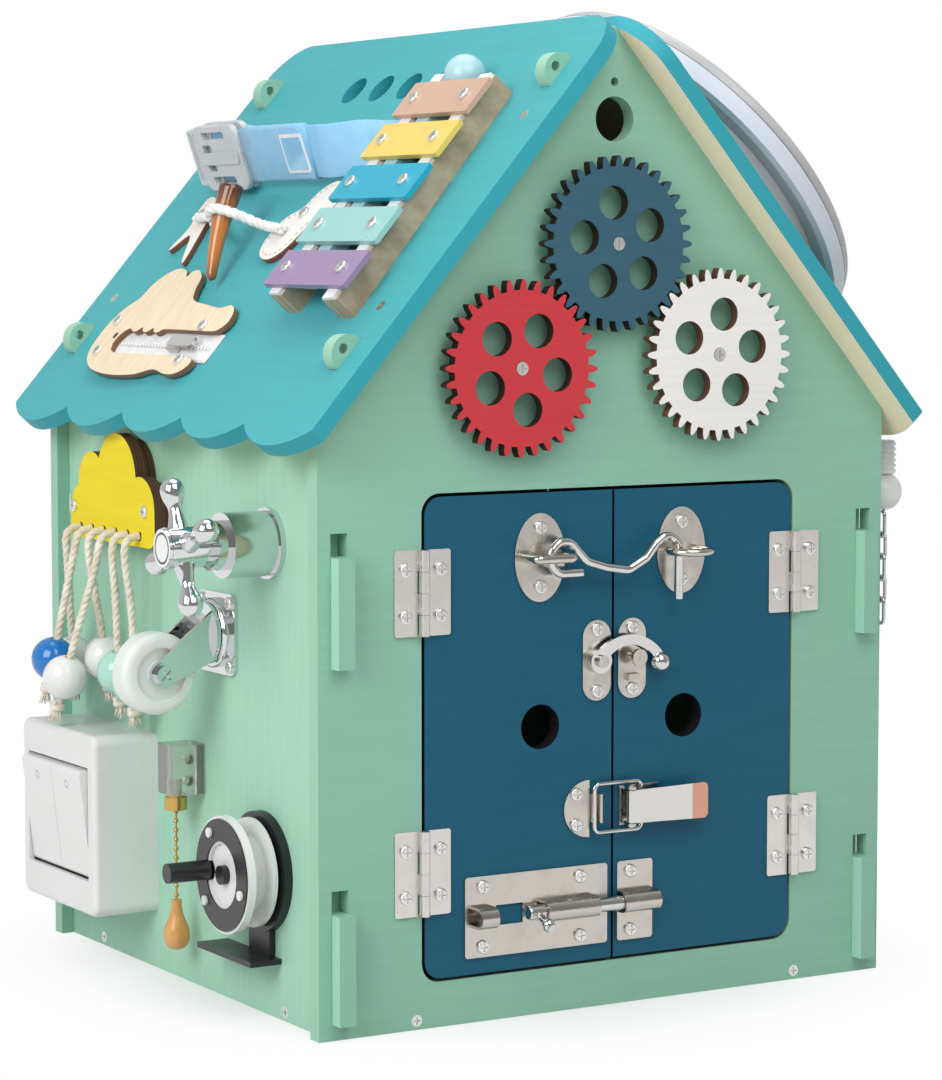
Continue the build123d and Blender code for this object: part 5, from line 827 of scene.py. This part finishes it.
FINISHES = (
    (mint_front, 0.35, ("front_gable",)),
    (mint_rear, 0.35, ("rear_gable",)),
    (mint_wall, 0.35, ("left_wall", "right_wall")),
    (roof_left_paint, 0.6, ("roof_left",)),
    (roof_right_paint, 0.6, ("roof_right",)),
    (door_paint, 0.45, ("door_left", "door_right")),
    (floor_wood, 0.3, ("floor_board",)),
    (gear_red, 0.2, ("gear_red",)),
    (gear_blue, 0.2, ("gear_blue",)),
    (gear_white, 0.2, ("gear_white",)),
    (cloud_paint, 0.3, ("cloud_plate",)),
    (zinc, 0.0, ("assembly_screws", "fitting_screws", "door_screws_left", "door_screws_right")),
    (zinc, 0.0, ("zipper_slider",)),
    (satin_steel, 0.15, ("hinge_leaves_frame", "hinge_leaves_left", "hinge_leaves_right")),
    (nickel, 0.15, ("hook_plate_left", "hook_plate_right", "swing_plate_left", "swing_plate_right")),
    (nickel, 0.15, ("draw_strike", "draw_base", "bolt_plate", "bolt_keeper")),
    (bright_nickel, 0.15, ("hook_rod", "swing_arm", "draw_bail", "bolt_rod")),
    (lever_metal, 0.15, ("draw_lever",)),
    (chrome, 0.15, ("tap_base", "caster_plate", "caster_fork")),
    (tap_chrome, 0.15, ("tap_handle",)),
    (milky, 0.3, ("caster_wheel",)),
    (switch_white, 0.3, ("switch_box",)),
    (rocker_white, 0.3, ("switch_rocker_rear", "switch_rocker_front")),
    (clear, 0.2, ("pull_switch_housing",)),
    (brass, 0.0, ("pull_chain",)),
    (drop_wood, 0.0, ("pull_handle",)),
    (black, 0.3, ("reel_back",)),
    (spool_white, 0.2, ("reel_spool",)),
    (rail_wood, 0.4, ("xylophone_rails",)),
    (bars_paint, 0.3, ("xylophone_bars",)),
    (ball_paint, 0.0, ("xylophone_mallet",)),
    (ring_plastic, 0.3, ("dome_base",)),
    (cap_plastic, 0.0, ("dome_cap",)),
    (pendant_mat, 0.0, ("wall_pendant",)),
)
for finish, soft_edge, finished_nodes in FINISHES:
    for node_name in finished_nodes:
        dress(node_name, finish, soft_edge)

# Lacing ropes, beads and frayed knots

ROPE_ROUTES = (
    (
        (91.9, 207.0, 12.0), (91.9, 207.0, 17.0), (92.2, 203.0, 20.2), (93.2, 193.2, 19.0),
        (95.6, 182.5, 17.2), (100.8, 163.4, 14.0), (107.9, 127.4, 9.0),
    ),
    (
        (78.65, 207.0, 12.0), (78.65, 207.0, 17.0), (78.9, 203.0, 20.3), (79.9, 193.2, 21.8),
        (81.9, 184.0, 22.9), (85.9, 165.5, 25.3), (92.6, 129.4, 29.9),
    ),
    (
        (65.4, 207.0, 12.0), (65.4, 207.0, 17.0), (65.9, 203.0, 20.2), (66.7, 194.6, 19.5),
        (67.2, 185.0, 17.9), (65.9, 166.8, 14.4), (66.2, 132.1, 9.6),
    ),
    (
        (52.15, 207.0, 12.0), (52.15, 207.0, 17.0), (52.6, 203.0, 20.3), (54.0, 193.0, 21.3),
        (57.5, 180.5, 23.3), (64.0, 158.5, 27.5), (73.2, 123.2, 33.4),
    ),
    (
        (38.9, 207.0, 12.0), (38.9, 207.0, 17.0), (38.6, 203.0, 20.2), (38.9, 193.4, 20.0),
        (39.6, 181.8, 18.2), (43.2, 163.3, 16.0), (46.7, 126.8, 12.7),
    ),
    (
        (25.65, 207.0, 12.0), (25.65, 207.0, 17.0), (25.3, 203.0, 20.2), (24.9, 193.2, 19.8),
        (25.4, 178.5, 17.0), (27.8, 158.0, 14.4), (31.0, 124.0, 12.6),
    ),
)
BEAD_ORDER = ("white", "blue", "white", "white", "mint", "mint")
BEAD_SHARE = 0.6
BEAD_RADIUS = 10.6
BEAD_BORE = 2.3
BEAD_RIM = 0.6
BEAD_DIP = 0.5
BEAD_STEPS = 28
LACING_DIAMETER = 4.0
LACING_PITCH = 11.0
LACING_STRAND = 0.325


def bead(name, center, axis, mat):
    """A turned bead: a ball with a bore and softened rims."""
    start = math.asin((BEAD_BORE + BEAD_RIM) / BEAD_RADIUS)
    turns = [start + (math.pi - 2 * start) * k / BEAD_STEPS for k in range(BEAD_STEPS + 1)]
    profile = [(BEAD_RADIUS * math.sin(t), BEAD_RADIUS * math.cos(t)) for t in turns]
    rim = BEAD_RADIUS * math.cos(start) - BEAD_DIP
    profile += [(BEAD_BORE, -rim), (BEAD_BORE, rim)]
    matrix = frame_on(center, axis.orthogonal(), axis)
    obj = lathe(name, profile, matrix, mat)
    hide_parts("rope_beads")
    return obj


KNOT_TURNS = 1.6
KNOT_STEPS = 26
KNOT_ORBIT = 2.0
KNOT_HEIGHT = 3.2
KNOT_RADIUS = 1.75
KNOT_LUMP = 0.25
FIBRES = 34
FIBRE_REACH = (4.5, 8.0)
FIBRE_SPREAD = 3.8
FIBRE_ROOT = 1.2
FIBRE_SUNK = 0.6
FIBRE_SWAY = 0.6
FIBRE_BEND = 0.4
FIBRE_RADII = (0.45, 0.4, 0.16)


def frayed_knot(name, place, axis):
    """A tight overhand lump with its cut fibres spread under it."""
    verts, faces = [], []
    matrix = frame_on(place, axis.orthogonal(), axis)
    path = []
    for k in range(KNOT_STEPS + 1):
        turn = 2 * math.pi * KNOT_TURNS * k / KNOT_STEPS
        height = -KNOT_HEIGHT / 2 + KNOT_HEIGHT * k / KNOT_STEPS
        path.append(matrix @ Vector((KNOT_ORBIT * math.cos(turn), KNOT_ORBIT * math.sin(turn), height)))
    tube_mesh(verts, faces, path, [KNOT_RADIUS + KNOT_LUMP * noise.noise(p * 0.8) for p in path], 9)
    for _ in range(FIBRES):
        lean = RNG.uniform(0, 2 * math.pi)
        spread = RNG.uniform(0.1, 1.0)
        reach = RNG.uniform(*FIBRE_REACH)
        x, y = math.cos(lean) * spread, math.sin(lean) * spread
        tip = Vector((x * FIBRE_SPREAD, y * FIBRE_SPREAD, reach))
        root = Vector((x * FIBRE_ROOT, y * FIBRE_ROOT, FIBRE_SUNK))
        sway = [RNG.uniform(-FIBRE_SWAY, FIBRE_SWAY) for _ in range(2)]
        middle = (root + tip) / 2 + Vector((*sway, FIBRE_BEND))
        fibre = [matrix @ p for p in (root, middle, tip)]
        tube_mesh(verts, faces, fibre, FIBRE_RADII, 5)
    obj = mesh_piece(name, verts, faces, cotton)
    clean(obj)
    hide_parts("rope_beads")
    return obj


def lacing_rope(number, route, paint):
    """One rope out of the cloud, with its bead near the end and its knot at the end."""
    points = [wall(y, z, off) for y, z, off in route]
    last_run = points[-1] - points[-2]
    on_rope = [
        bead("bead_%d" % number, points[-2] + last_run * BEAD_SHARE, last_run, paint),
        frayed_knot("knot_%d" % number, points[-1], last_run),
    ]
    twisted_rope(
        "lacing_rope_%d" % number,
        points, LACING_DIAMETER, LACING_PITCH, LACING_STRAND,
        cotton, "bead_ropes",
    )


for rope_index, (rope_route, bead_color) in enumerate(zip(ROPE_ROUTES, BEAD_ORDER)):
    lacing_rope(rope_index + 1, rope_route, bead_paints[bead_color])

# Strap with its buckle

# Each station is (y, slope, distance off the roof, width direction up the slope, and off the roof)
STRAP_STATIONS = (
    (-40.0, 72.0, 0.8, 1.0, 0.0),
    (86.0, 72.0, 0.8, 1.0, 0.0),
    (98.0, 73.0, 2.2, 1.0, 0.0),
    (108.0, 77.0, 7.4, 0.93, 0.37),
    (112.0, 84.0, 11.5, 0.7, 0.714),
    (106.0, 90.0, 16.0, 0.495, 0.869),
    (94.0, 91.5, 17.0, 0.5, 0.866),
    (-4.0, 91.5, 17.0, 0.5, 0.866),
    (-14.0, 89.0, 14.0, 0.64, 0.77),
    (-23.0, 82.5, 9.0, 0.85, 0.53),
    (-31.0, 75.5, 4.4, 1.0, 0.0),
    (-40.0, 73.5, 2.6, 1.0, 0.0),
)
STRAP_WIDTH = 25.0
STRAP_THICK = 1.4
RIM_SHARE = 0.35


def ribbon(name, centers, sides_out, width, thick, mat):
    """A flat woven band along points, with its width directions and UVs in mm."""
    rim = thick * RIM_SHARE
    half = width / 2
    section = [
        (-half, -rim), (-half, rim), (-half + rim, thick / 2), (half - rim, thick / 2),
        (half, rim), (half, -rim), (half - rim, -thick / 2), (-half + rim, -thick / 2),
    ]
    verts, faces, uvs = [], [], []
    done = 0.0
    count = len(centers)
    for i, (center, across) in enumerate(zip(centers, sides_out)):
        run = (centers[min(i + 1, count - 1)] - centers[max(i - 1, 0)]).normalized()
        across = (across - run * across.dot(run)).normalized()
        normal = run.cross(across)
        if i:
            done += (center - centers[i - 1]).length
        for a, b in section:
            verts.append(center + across * a + normal * b)
            uvs.append((done, a))
    ring = len(section)
    for i in range(count - 1):
        for k in range(ring):
            p, q = i * ring + k, i * ring + (k + 1) % ring
            faces.append((p, q, q + ring, p + ring))
    faces.append(tuple(reversed(range(ring))))
    faces.append(tuple(range((count - 1) * ring, count * ring)))
    return mesh_piece(name, verts, faces, mat, uvs)


def strap():
    """The webbing loop, between two smooth edge lines."""
    edges = []
    for side in (-1, 1):
        route = []
        for y, slope, off, up, out in STRAP_STATIONS:
            across = (UP_SLOPE * up + ROOF_OUT * out).normalized()
            route.append(roof(y, slope, off) + across * side * STRAP_WIDTH / 2)
        edges.append(nurbs_line("strap_edge", route))
    centers = [(a + b) / 2 for a, b in zip(*edges)]
    across = [(b - a).normalized() for a, b in zip(*edges)]
    obj = ribbon("strap_band", centers, across, STRAP_WIDTH, STRAP_THICK, strap_fabric)
    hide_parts("strap_webbing")


strap()

# The buckle's own plane: its middle on the strap's front run, which leans from the roof
BUCKLE_Y = 45.0
FRONT_RUN = (91.5, 17.0)
BUCKLE_UP = UP_SLOPE * 0.5 + ROOF_OUT * 0.866
BUCKLE_OUT = ROOF_OUT * 0.5 - UP_SLOPE * 0.866
CORNER_STEPS = 5


def buckle_plane(off):
    """A plane on the strap's front run: x to the front, y up across the strap."""
    return frame_on(roof(BUCKLE_Y, *FRONT_RUN) + BUCKLE_OUT * off, FRONT_OUT, BUCKLE_OUT)


def box_loop(x0, x1, y0, y1, corner):
    """A rectangle with rounded corners as a loop."""
    out = []
    spots = ((x1 - corner, y1 - corner, 0), (x0 + corner, y1 - corner, 90))
    spots += ((x0 + corner, y0 + corner, 180), (x1 - corner, y0 + corner, 270))
    for cx, cy, start in spots:
        for k in range(CORNER_STEPS + 1):
            turn = math.radians(start + 90 / CORNER_STEPS * k)
            out.append(Vector((cx + corner * math.cos(turn), cy + corner * math.sin(turn))))
    return out


def band_loop(x0, x1, half, corner):
    """A rounded rectangle centred across the strap."""
    return box_loop(x0, x1, -half, half, corner)


SHELL_THICK = 3.3
SLOT_EDGES = (9.6, 13.0)
SLEEVE_YS = (62.0, 50.0, 36.0, 22.0, 8.0, -2.0)
SLEEVE_WIDTH = 27.0
SLEEVE_THICK = 4.4


def buckle():
    """The clear buckle in five plates, the folded strap beside it and a plain label."""
    shell = band_loop(-63, -17, 16.5, 6.5)
    low, high = SLOT_EDGES
    slots = [box_loop(-54, -30, -high, -low, 1.4), box_loop(-54, -30, low, high, 1.4)]
    window = band_loop(-56, -47, 6.5, 1.5)
    core = band_loop(-62, -50, 15.4, 4)
    bar = band_loop(-74, -62, 14.5, 2.5)
    gaps = [band_loop(-72, -69.4, 12.5, 1.2), band_loop(-67.4, -64.8, 12.5, 1.2)]
    prong = band_loop(-60, -20, 3.2, 1.5)
    plates = (
        ("buckle_front", [shell, *slots, window], 1.2, SHELL_THICK, 0.7),
        ("buckle_back", [shell, window], -4.5, SHELL_THICK, 0.7),
        ("buckle_mouth", [core], -1.2, 2.4, 0.2),
        ("buckle_bar", [bar, *gaps], -2.4, 4.8, 0.8),
        ("buckle_prong", [prong], 4.3, 1.0, 0.3),
    )
    pieces = [
        plate(name, loops, buckle_plane(off), thick, frosted, bevel)
        for name, loops, off, thick, bevel in plates
    ]
    centers = [roof(y, *FRONT_RUN) for y in SLEEVE_YS]
    across = [BUCKLE_UP] * len(centers)
    pieces.append(
        ribbon("strap_sleeve", centers, across, SLEEVE_WIDTH, SLEEVE_THICK, strap_fabric)
    )
    border = band_loop(24, 46, 9.5, 1.2)
    pieces.append(plate("strap_label", [border], buckle_plane(2.25), 0.5, tape_fabric, 0.1))
    inner = band_loop(25.6, 44.4, 7.9, 0.8)
    pieces.append(
        plate("strap_label_face", [inner], buckle_plane(2.6), 0.4, strap_fabric, 0.08)
    )
    for obj in pieces:
        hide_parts("strap_buckle")


buckle()

# Toggle fastening


def roof_plane(off):
    """Left roof: local x is minus the place along the ridge, local y minus the slope."""
    return frame_on(roof(0, 0, off), FRONT_OUT, ROOF_OUT)


def roof_loop(points, steps=6):
    """A smooth outline on the left roof from (y, slope) points."""
    return smooth_loop([(-y, -s) for y, s in points], steps)


PEANUT = (
    (-2.0, 146.0), (8.5, 142.0), (12.8, 131.5), (9.0, 120.5), (-1.0, 113.5), (-5.0, 104.0), (-14.5, 97.6),
    (-26.0, 101.0), (-30.6, 110.5), (-27.5, 120.0), (-19.5, 126.0), (-16.0, 136.0), (-10.5, 143.5),
)
PRONGS = (
    (109.0, 106.5), (101.0, 106.0), (94.0, 113.5), (87.5, 129.0), (81.6, 147.0), (85.0, 146.5),
    (95.0, 132.5), (99.5, 131.5), (106.5, 139.8), (108.5, 138.5), (104.8, 126.0), (108.5, 117.0),
)
PATCH_THICK = 3.0
PATCH_HOLE = 1.6
STITCH_INSET = 2.6
STITCH_STEP = 1.75
STITCH_RISE = 0.25
STITCH_RADII = (0.28, 0.34, 0.28)
TOGGLE_ROUTE = (
    (-4.0, 130.0, 5.8), (7.0, 128.5, 5.8), (18.0, 128.0, 7.0), (26.5, 131.0, 20.0), (33.3, 134.5, 27.5),
    (41.0, 136.0, 20.0), (47.0, 134.0, 8.0), (66.0, 127.0, 6.4), (84.0, 120.0, 5.9), (97.0, 122.0, 5.9),
)
TOGGLE_DIAMETER = 5.2
TOGGLE_PITCH = 12.0
TOGGLE_STRAND = 0.272


def stitches(name, loop, plane, mat):
    """Small raised stitches inside a loop."""
    center = sum(loop, Vector((0, 0))) / len(loop)
    line = []
    for before, point, after in zip(loop[-1:] + loop[:-1], loop, loop[1:] + loop[:1]):
        run = (after - before).normalized()
        inward = Vector((-run.y, run.x))
        if inward.dot(center - point) < 0:
            inward = -inward
        line.append((point + inward * STITCH_INSET).to_3d())
    line = resample(line + [line[0]], STITCH_STEP)
    verts, faces = [], []
    for a, b in zip(line[::2], line[1::2]):
        ends = [plane @ a, plane @ ((a + b) / 2 + UP * STITCH_RISE), plane @ b]
        tube_mesh(verts, faces, ends, STITCH_RADII, 6)
    obj = mesh_piece(name, verts, faces, mat)
    clean(obj)
    return obj


def patch(name, outline, hole, mat, bevel):
    """A leather patch on the roof, with the hole for its screw."""
    loops = [outline, circle_loop(-hole[0], -hole[1], PATCH_HOLE)]
    return plate(name, loops, roof_plane(0.0), PATCH_THICK, mat, bevel)


def toggle():
    """Two leather patches and the rope between them."""
    peanut = roof_loop(PEANUT)
    pieces = [
        patch("toggle_patch_right", peanut, (-7.4, 117.6), patch_leather, 0.5),
        stitches("toggle_stitches", peanut, roof_plane(PATCH_THICK - 0.05), thread_white),
        patch("toggle_patch_left", roof_loop(PRONGS, 4), (100.0, 117.0), prong_leather, 0.4),
    ]
    for obj in pieces:
        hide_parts("toggle_loop")
    twisted_rope(
        "toggle_rope",
        [roof(y, slope, off) for y, slope, off in TOGGLE_ROUTE],
        TOGGLE_DIAMETER, TOGGLE_PITCH, TOGGLE_STRAND,
        fluffy, "toggle_loop",
    )


toggle()


HORN_HEAD = (36.0, 117.0, 24.0)
HORN_TIP = (29.5, 161.6, 5.5)
HORN_BOW = 1.6
HORN_RADII = (6.3, 2.3)
HORN_TAPER = 0.92
HORN_ROUND = 0.05
HORN_END = 0.02


def horn_toggle():
    """A slightly bowed horn that tapers from head to tip, with both ends rounded."""
    head, tip = roof(*HORN_HEAD), roof(*HORN_TIP)
    run = tip - head
    bow = ROOF_OUT * HORN_BOW
    wide, narrow = HORN_RADII
    steps, sides = 40, 28
    verts, faces, uvs = [], [], []
    for k in range(steps + 1):
        t = k / steps
        center = head + run * t + bow * math.sin(math.pi * t)
        cap = min(1.0, min(t, 1 - t) / HORN_ROUND)
        ends = math.sqrt(max(0.0, 1 - (1 - cap) ** 2)) * (1 - HORN_END) + HORN_END
        radius = (wide + (narrow - wide) * t**HORN_TAPER) * ends
        side = run.orthogonal().normalized()
        other = run.normalized().cross(side)
        for j in range(sides):
            turn = 2 * math.pi * j / sides
            verts.append(center + (side * math.cos(turn) + other * math.sin(turn)) * radius)
            uvs.append((t, j / sides))
    for k in range(steps):
        for j in range(sides):
            p, q = k * sides + j, k * sides + (j + 1) % sides
            faces.append((p, q, q + sides, p + sides))
    faces.append(tuple(reversed(range(sides))))
    faces.append(tuple(range(steps * sides, (steps + 1) * sides)))
    obj = mesh_piece("horn_peg", verts, faces, horn, uvs)
    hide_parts("toggle_horn")


horn_toggle()

# Plywood figure over its zip

FIGURE = (
    (109.0, 196.0), (106.5, 206.5), (98.0, 213.5), (84.0, 217.5), (63.0, 219.0), (40.0, 217.8), (24.0, 214.2),
    (10.0, 216.2), (0.0, 216.0), (-7.5, 212.5), (-8.5, 207.5), (-2.0, 205.8), (20.0, 205.5), (60.0, 205.5),
    (80.0, 205.4), (86.0, 202.0), (87.4, 197.5), (85.0, 193.0), (80.5, 190.8), (77.0, 192.0), (74.0, 192.6),
    (71.0, 191.9), (68.0, 189.8), (65.0, 191.9), (62.0, 192.6), (59.0, 191.9), (56.0, 189.8), (53.0, 191.9),
    (50.0, 192.6), (47.0, 191.9), (43.0, 190.3), (20.0, 190.2), (-4.0, 190.3), (-11.5, 189.3), (-15.8, 184.5),
    (-13.5, 178.0), (-6.5, 174.4), (3.0, 176.2), (20.0, 174.4), (36.0, 172.0), (42.5, 166.0), (46.5, 158.0),
    (54.0, 153.8), (60.5, 154.4), (62.8, 157.8), (68.0, 154.0), (77.0, 152.8), (86.5, 156.2), (93.0, 163.2),
    (95.5, 171.5), (103.0, 178.0), (108.0, 186.5),
)
FIGURE_SCREWS = ((99, 186.5), (96, 205.5), (5, 187.5), (2.7, 208))
SCREW_HOLE = 1.6
EYE = (91.0, 195.5, 1.9)
FIGURE_LIFT = 1.0
FIGURE_THICK = 3.0
TAPE_REAR = 92.0
TAPE_FRONT = -15.0
TAPE_TOP = 189.5
TAPE_WIDTH = 16.7
TAPE_OFF = 0.75
TAPE_THICK = 0.6
TAPE_WAVE = 0.25
TOOTH_COUNT = 58
TOOTH_PITCH = 1.65
TOOTH_REAR = 84.0
TOOTH_SLOPE = 198.0
TOOTH_STAGGER = 0.55
TOOTH_HALF = 0.9
TOOTH_OFF = 1.25
TOOTH_RADIUS = 0.55
SLIDER_Y = 22.0
SLIDER_CLEAR = 5.0


def figure_board():
    """The plywood outline with its mouth open, its screw holes and its eye."""
    loops = [roof_loop(FIGURE, 5)]
    loops += [circle_loop(-y, -slope, SCREW_HOLE) for y, slope in FIGURE_SCREWS]
    eye_y, eye_slope, eye_radius = EYE
    loops.append(circle_loop(-eye_y, -eye_slope, eye_radius))
    return plate("figure_board", loops, roof_plane(FIGURE_LIFT), FIGURE_THICK, figure_wood)


def zip_tape():
    """The tape of the zip, slightly wavy, between the board and the roof."""
    columns, rows = 40, 6
    verts, faces = [], []
    for i in range(columns + 1):
        for j in range(rows + 1):
            y = TAPE_REAR - (TAPE_REAR - TAPE_FRONT) * i / columns
            slope = TAPE_TOP + TAPE_WIDTH * j / rows
            wave = TAPE_WAVE * noise.noise(Vector((y * 0.12, slope * 0.2, 0.0)))
            verts.append(roof(y, slope, TAPE_OFF + wave))
    for i in range(columns):
        for j in range(rows):
            p = i * (rows + 1) + j
            faces.append((p, p + 1, p + rows + 2, p + rows + 1))
    tape = mesh_piece("zip_tape", verts, faces, tape_fabric)
    thick = tape.modifiers.new("thickness", "SOLIDIFY")
    thick.thickness = TAPE_THICK * MM
    thick.offset = -1.0
    return tape


def zip_teeth():
    """Two staggered rows of teeth, left open where the slider rests."""
    verts, faces = [], []
    for k in range(TOOTH_COUNT):
        y = TOOTH_REAR - TOOTH_PITCH * k
        if abs(y - SLIDER_Y) < SLIDER_CLEAR:
            continue
        middle = TOOTH_SLOPE + (TOOTH_STAGGER if k % 2 else -TOOTH_STAGGER)
        ends = [roof(y, middle + half, TOOTH_OFF) for half in (-TOOTH_HALF, TOOTH_HALF)]
        tube_mesh(verts, faces, ends, (TOOTH_RADIUS, TOOTH_RADIUS), 6)
    teeth = mesh_piece("zip_teeth", verts, faces, teeth_plastic)
    clean(teeth)
    return teeth


for figure_piece in (figure_board(), zip_tape(), zip_teeth()):
    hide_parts("plywood_figure")



# Floor, background, light and camera


def light_path(tree, *names):
    """One where a ray is any of the named kinds."""
    node = add(tree, "ShaderNodeLightPath")
    total = node.outputs[names[0]]
    for name in names[1:]:
        total = math_of(tree, "MAXIMUM", total, node.outputs[name])
    return total


FLOOR_REACH = 4000.0
FLOOR_Z = -0.2

# The shadow fades out between these distances from the middle of the house, in metres
SHADOW_FADE = (0.10, 0.27)


def stage_floor():
    """A pale floor that keeps the shadow near the house and runs out to plain white."""
    corners = ((-1, -1), (1, -1), (1, 1), (-1, 1))
    verts = [(x * FLOOR_REACH, y * FLOOR_REACH, FLOOR_Z) for x, y in corners]
    mesh = bpy.data.meshes.new("stage_floor")
    mesh.from_pydata([tuple(Vector(v) * MM) for v in verts], [], [(0, 1, 2, 3)])
    obj = bpy.data.objects.new("stage_floor", mesh)
    bpy.context.scene.collection.objects.link(obj)
    mat, tree, shader = new_material("stage_floor", (0.9, 0.9, 0.9), 0.7)
    straight = light_path(tree, "Is Camera Ray")
    tree.links.new(mix(tree, straight, (0.66, 0.66, 0.65), (0.9, 0.9, 0.9)), shader.inputs["Base Color"])
    point = object_point(tree)
    length = add(tree, "ShaderNodeVectorMath", {0: point}, operation="LENGTH").outputs["Value"]
    grain = noise_of(tree, point, 6.0)
    reach = math_of(tree, "ADD", length, math_of(tree, "MULTIPLY", grain, 0.05))
    far = ramp(tree, reach, *SHADOW_FADE)
    seen = light_path(tree, "Is Camera Ray", "Is Glossy Ray", "Is Transmission Ray")
    glow = add(tree, "ShaderNodeEmission", {"Color": (1, 1, 1, 1), "Strength": 1.0}).outputs[0]
    inputs = {0: math_of(tree, "MULTIPLY", far, seen), 1: shader.outputs[0], 2: glow}
    blended = add(tree, "ShaderNodeMixShader", inputs).outputs[0]
    tree.links.new(blended, tree.nodes["Material Output"].inputs["Surface"])
    mesh.materials.append(mat)


def world_light():
    """Soft plain light all round, grey for reflections and white for what the camera sees."""
    world = bpy.data.worlds.new("studio")
    world.use_nodes = True
    tree = world.node_tree
    tree.nodes.clear()
    direction = add(tree, "ShaderNodeTexCoord").outputs["Generated"]
    behind = ramp(tree, along(tree, direction, (0.35, 1.0, 0.0)), -0.6, 0.35)
    grey = mix(tree, behind, (0.27, 0.265, 0.26), (0.62, 0.62, 0.62))
    plain = add(tree, "ShaderNodeBackground", {"Color": (0.93, 0.96, 1.0, 1), "Strength": 0.44}).outputs[0]
    shiny = add(tree, "ShaderNodeBackground", {"Color": grey, "Strength": 1.0}).outputs[0]
    white = add(tree, "ShaderNodeBackground", {"Color": (1, 1, 1, 1), "Strength": 1.0}).outputs[0]
    glossy = light_path(tree, "Is Glossy Ray")
    seen = light_path(tree, "Is Camera Ray", "Is Transmission Ray")
    first = add(tree, "ShaderNodeMixShader", {0: glossy, 1: plain, 2: shiny}).outputs[0]
    last = add(tree, "ShaderNodeMixShader", {0: seen, 1: first, 2: white}).outputs[0]
    out = tree.nodes.new("ShaderNodeOutputWorld")
    tree.links.new(last, out.inputs["Surface"])
    bpy.context.scene.world = world


def area_light(name, place, target, size, watts):
    """A square lamp that faces a point."""
    data = bpy.data.lights.new(name, "AREA")
    data.shape = "SQUARE"
    data.size = size * MM
    data.energy = watts
    obj = bpy.data.objects.new(name, data)
    bpy.context.scene.collection.objects.link(obj)
    obj.location = Vector(place) * MM
    run = Vector(target) - Vector(place)
    obj.rotation_euler = run.to_track_quat("-Z", "Y").to_euler()


CAMERA_AZIMUTH = math.radians(30.69)
CAMERA_ELEVATION = math.radians(4.91)
CAMERA_TARGET = Vector((-74.0, -140.0, 214.0))
CAMERA_DISTANCE = 1470.25
CAMERA_LENS = 112.3
SENSOR_HEIGHT = 36.0


def camera():
    """The camera at the photograph's angle."""
    azimuth, elevation = CAMERA_AZIMUTH, CAMERA_ELEVATION
    out = Vector(
        (
            -math.sin(azimuth) * math.cos(elevation),
            -math.cos(azimuth) * math.cos(elevation),
            math.sin(elevation),
        )
    )
    data = bpy.data.cameras.new("camera")
    data.sensor_fit = "VERTICAL"
    data.sensor_height = SENSOR_HEIGHT
    data.lens = CAMERA_LENS
    data.clip_start = 0.05
    obj = bpy.data.objects.new("camera", data)
    bpy.context.scene.collection.objects.link(obj)
    obj.location = (CAMERA_TARGET + out * CAMERA_DISTANCE) * MM
    obj.rotation_euler = (-out).to_track_quat("-Z", "Y").to_euler()
    bpy.context.scene.camera = obj


stage_floor()
world_light()
area_light("key", (-1300, -500, 900), (-40, 0, 200), 900, 13.5)
area_light("front", (-100, -800, 950), (0, -130, 280), 600, 4.3)
area_light("top", (100, 100, 1500), (0, 0, 300), 900, 6.0)
camera()
bpy.context.scene.view_settings.view_transform = "Standard"
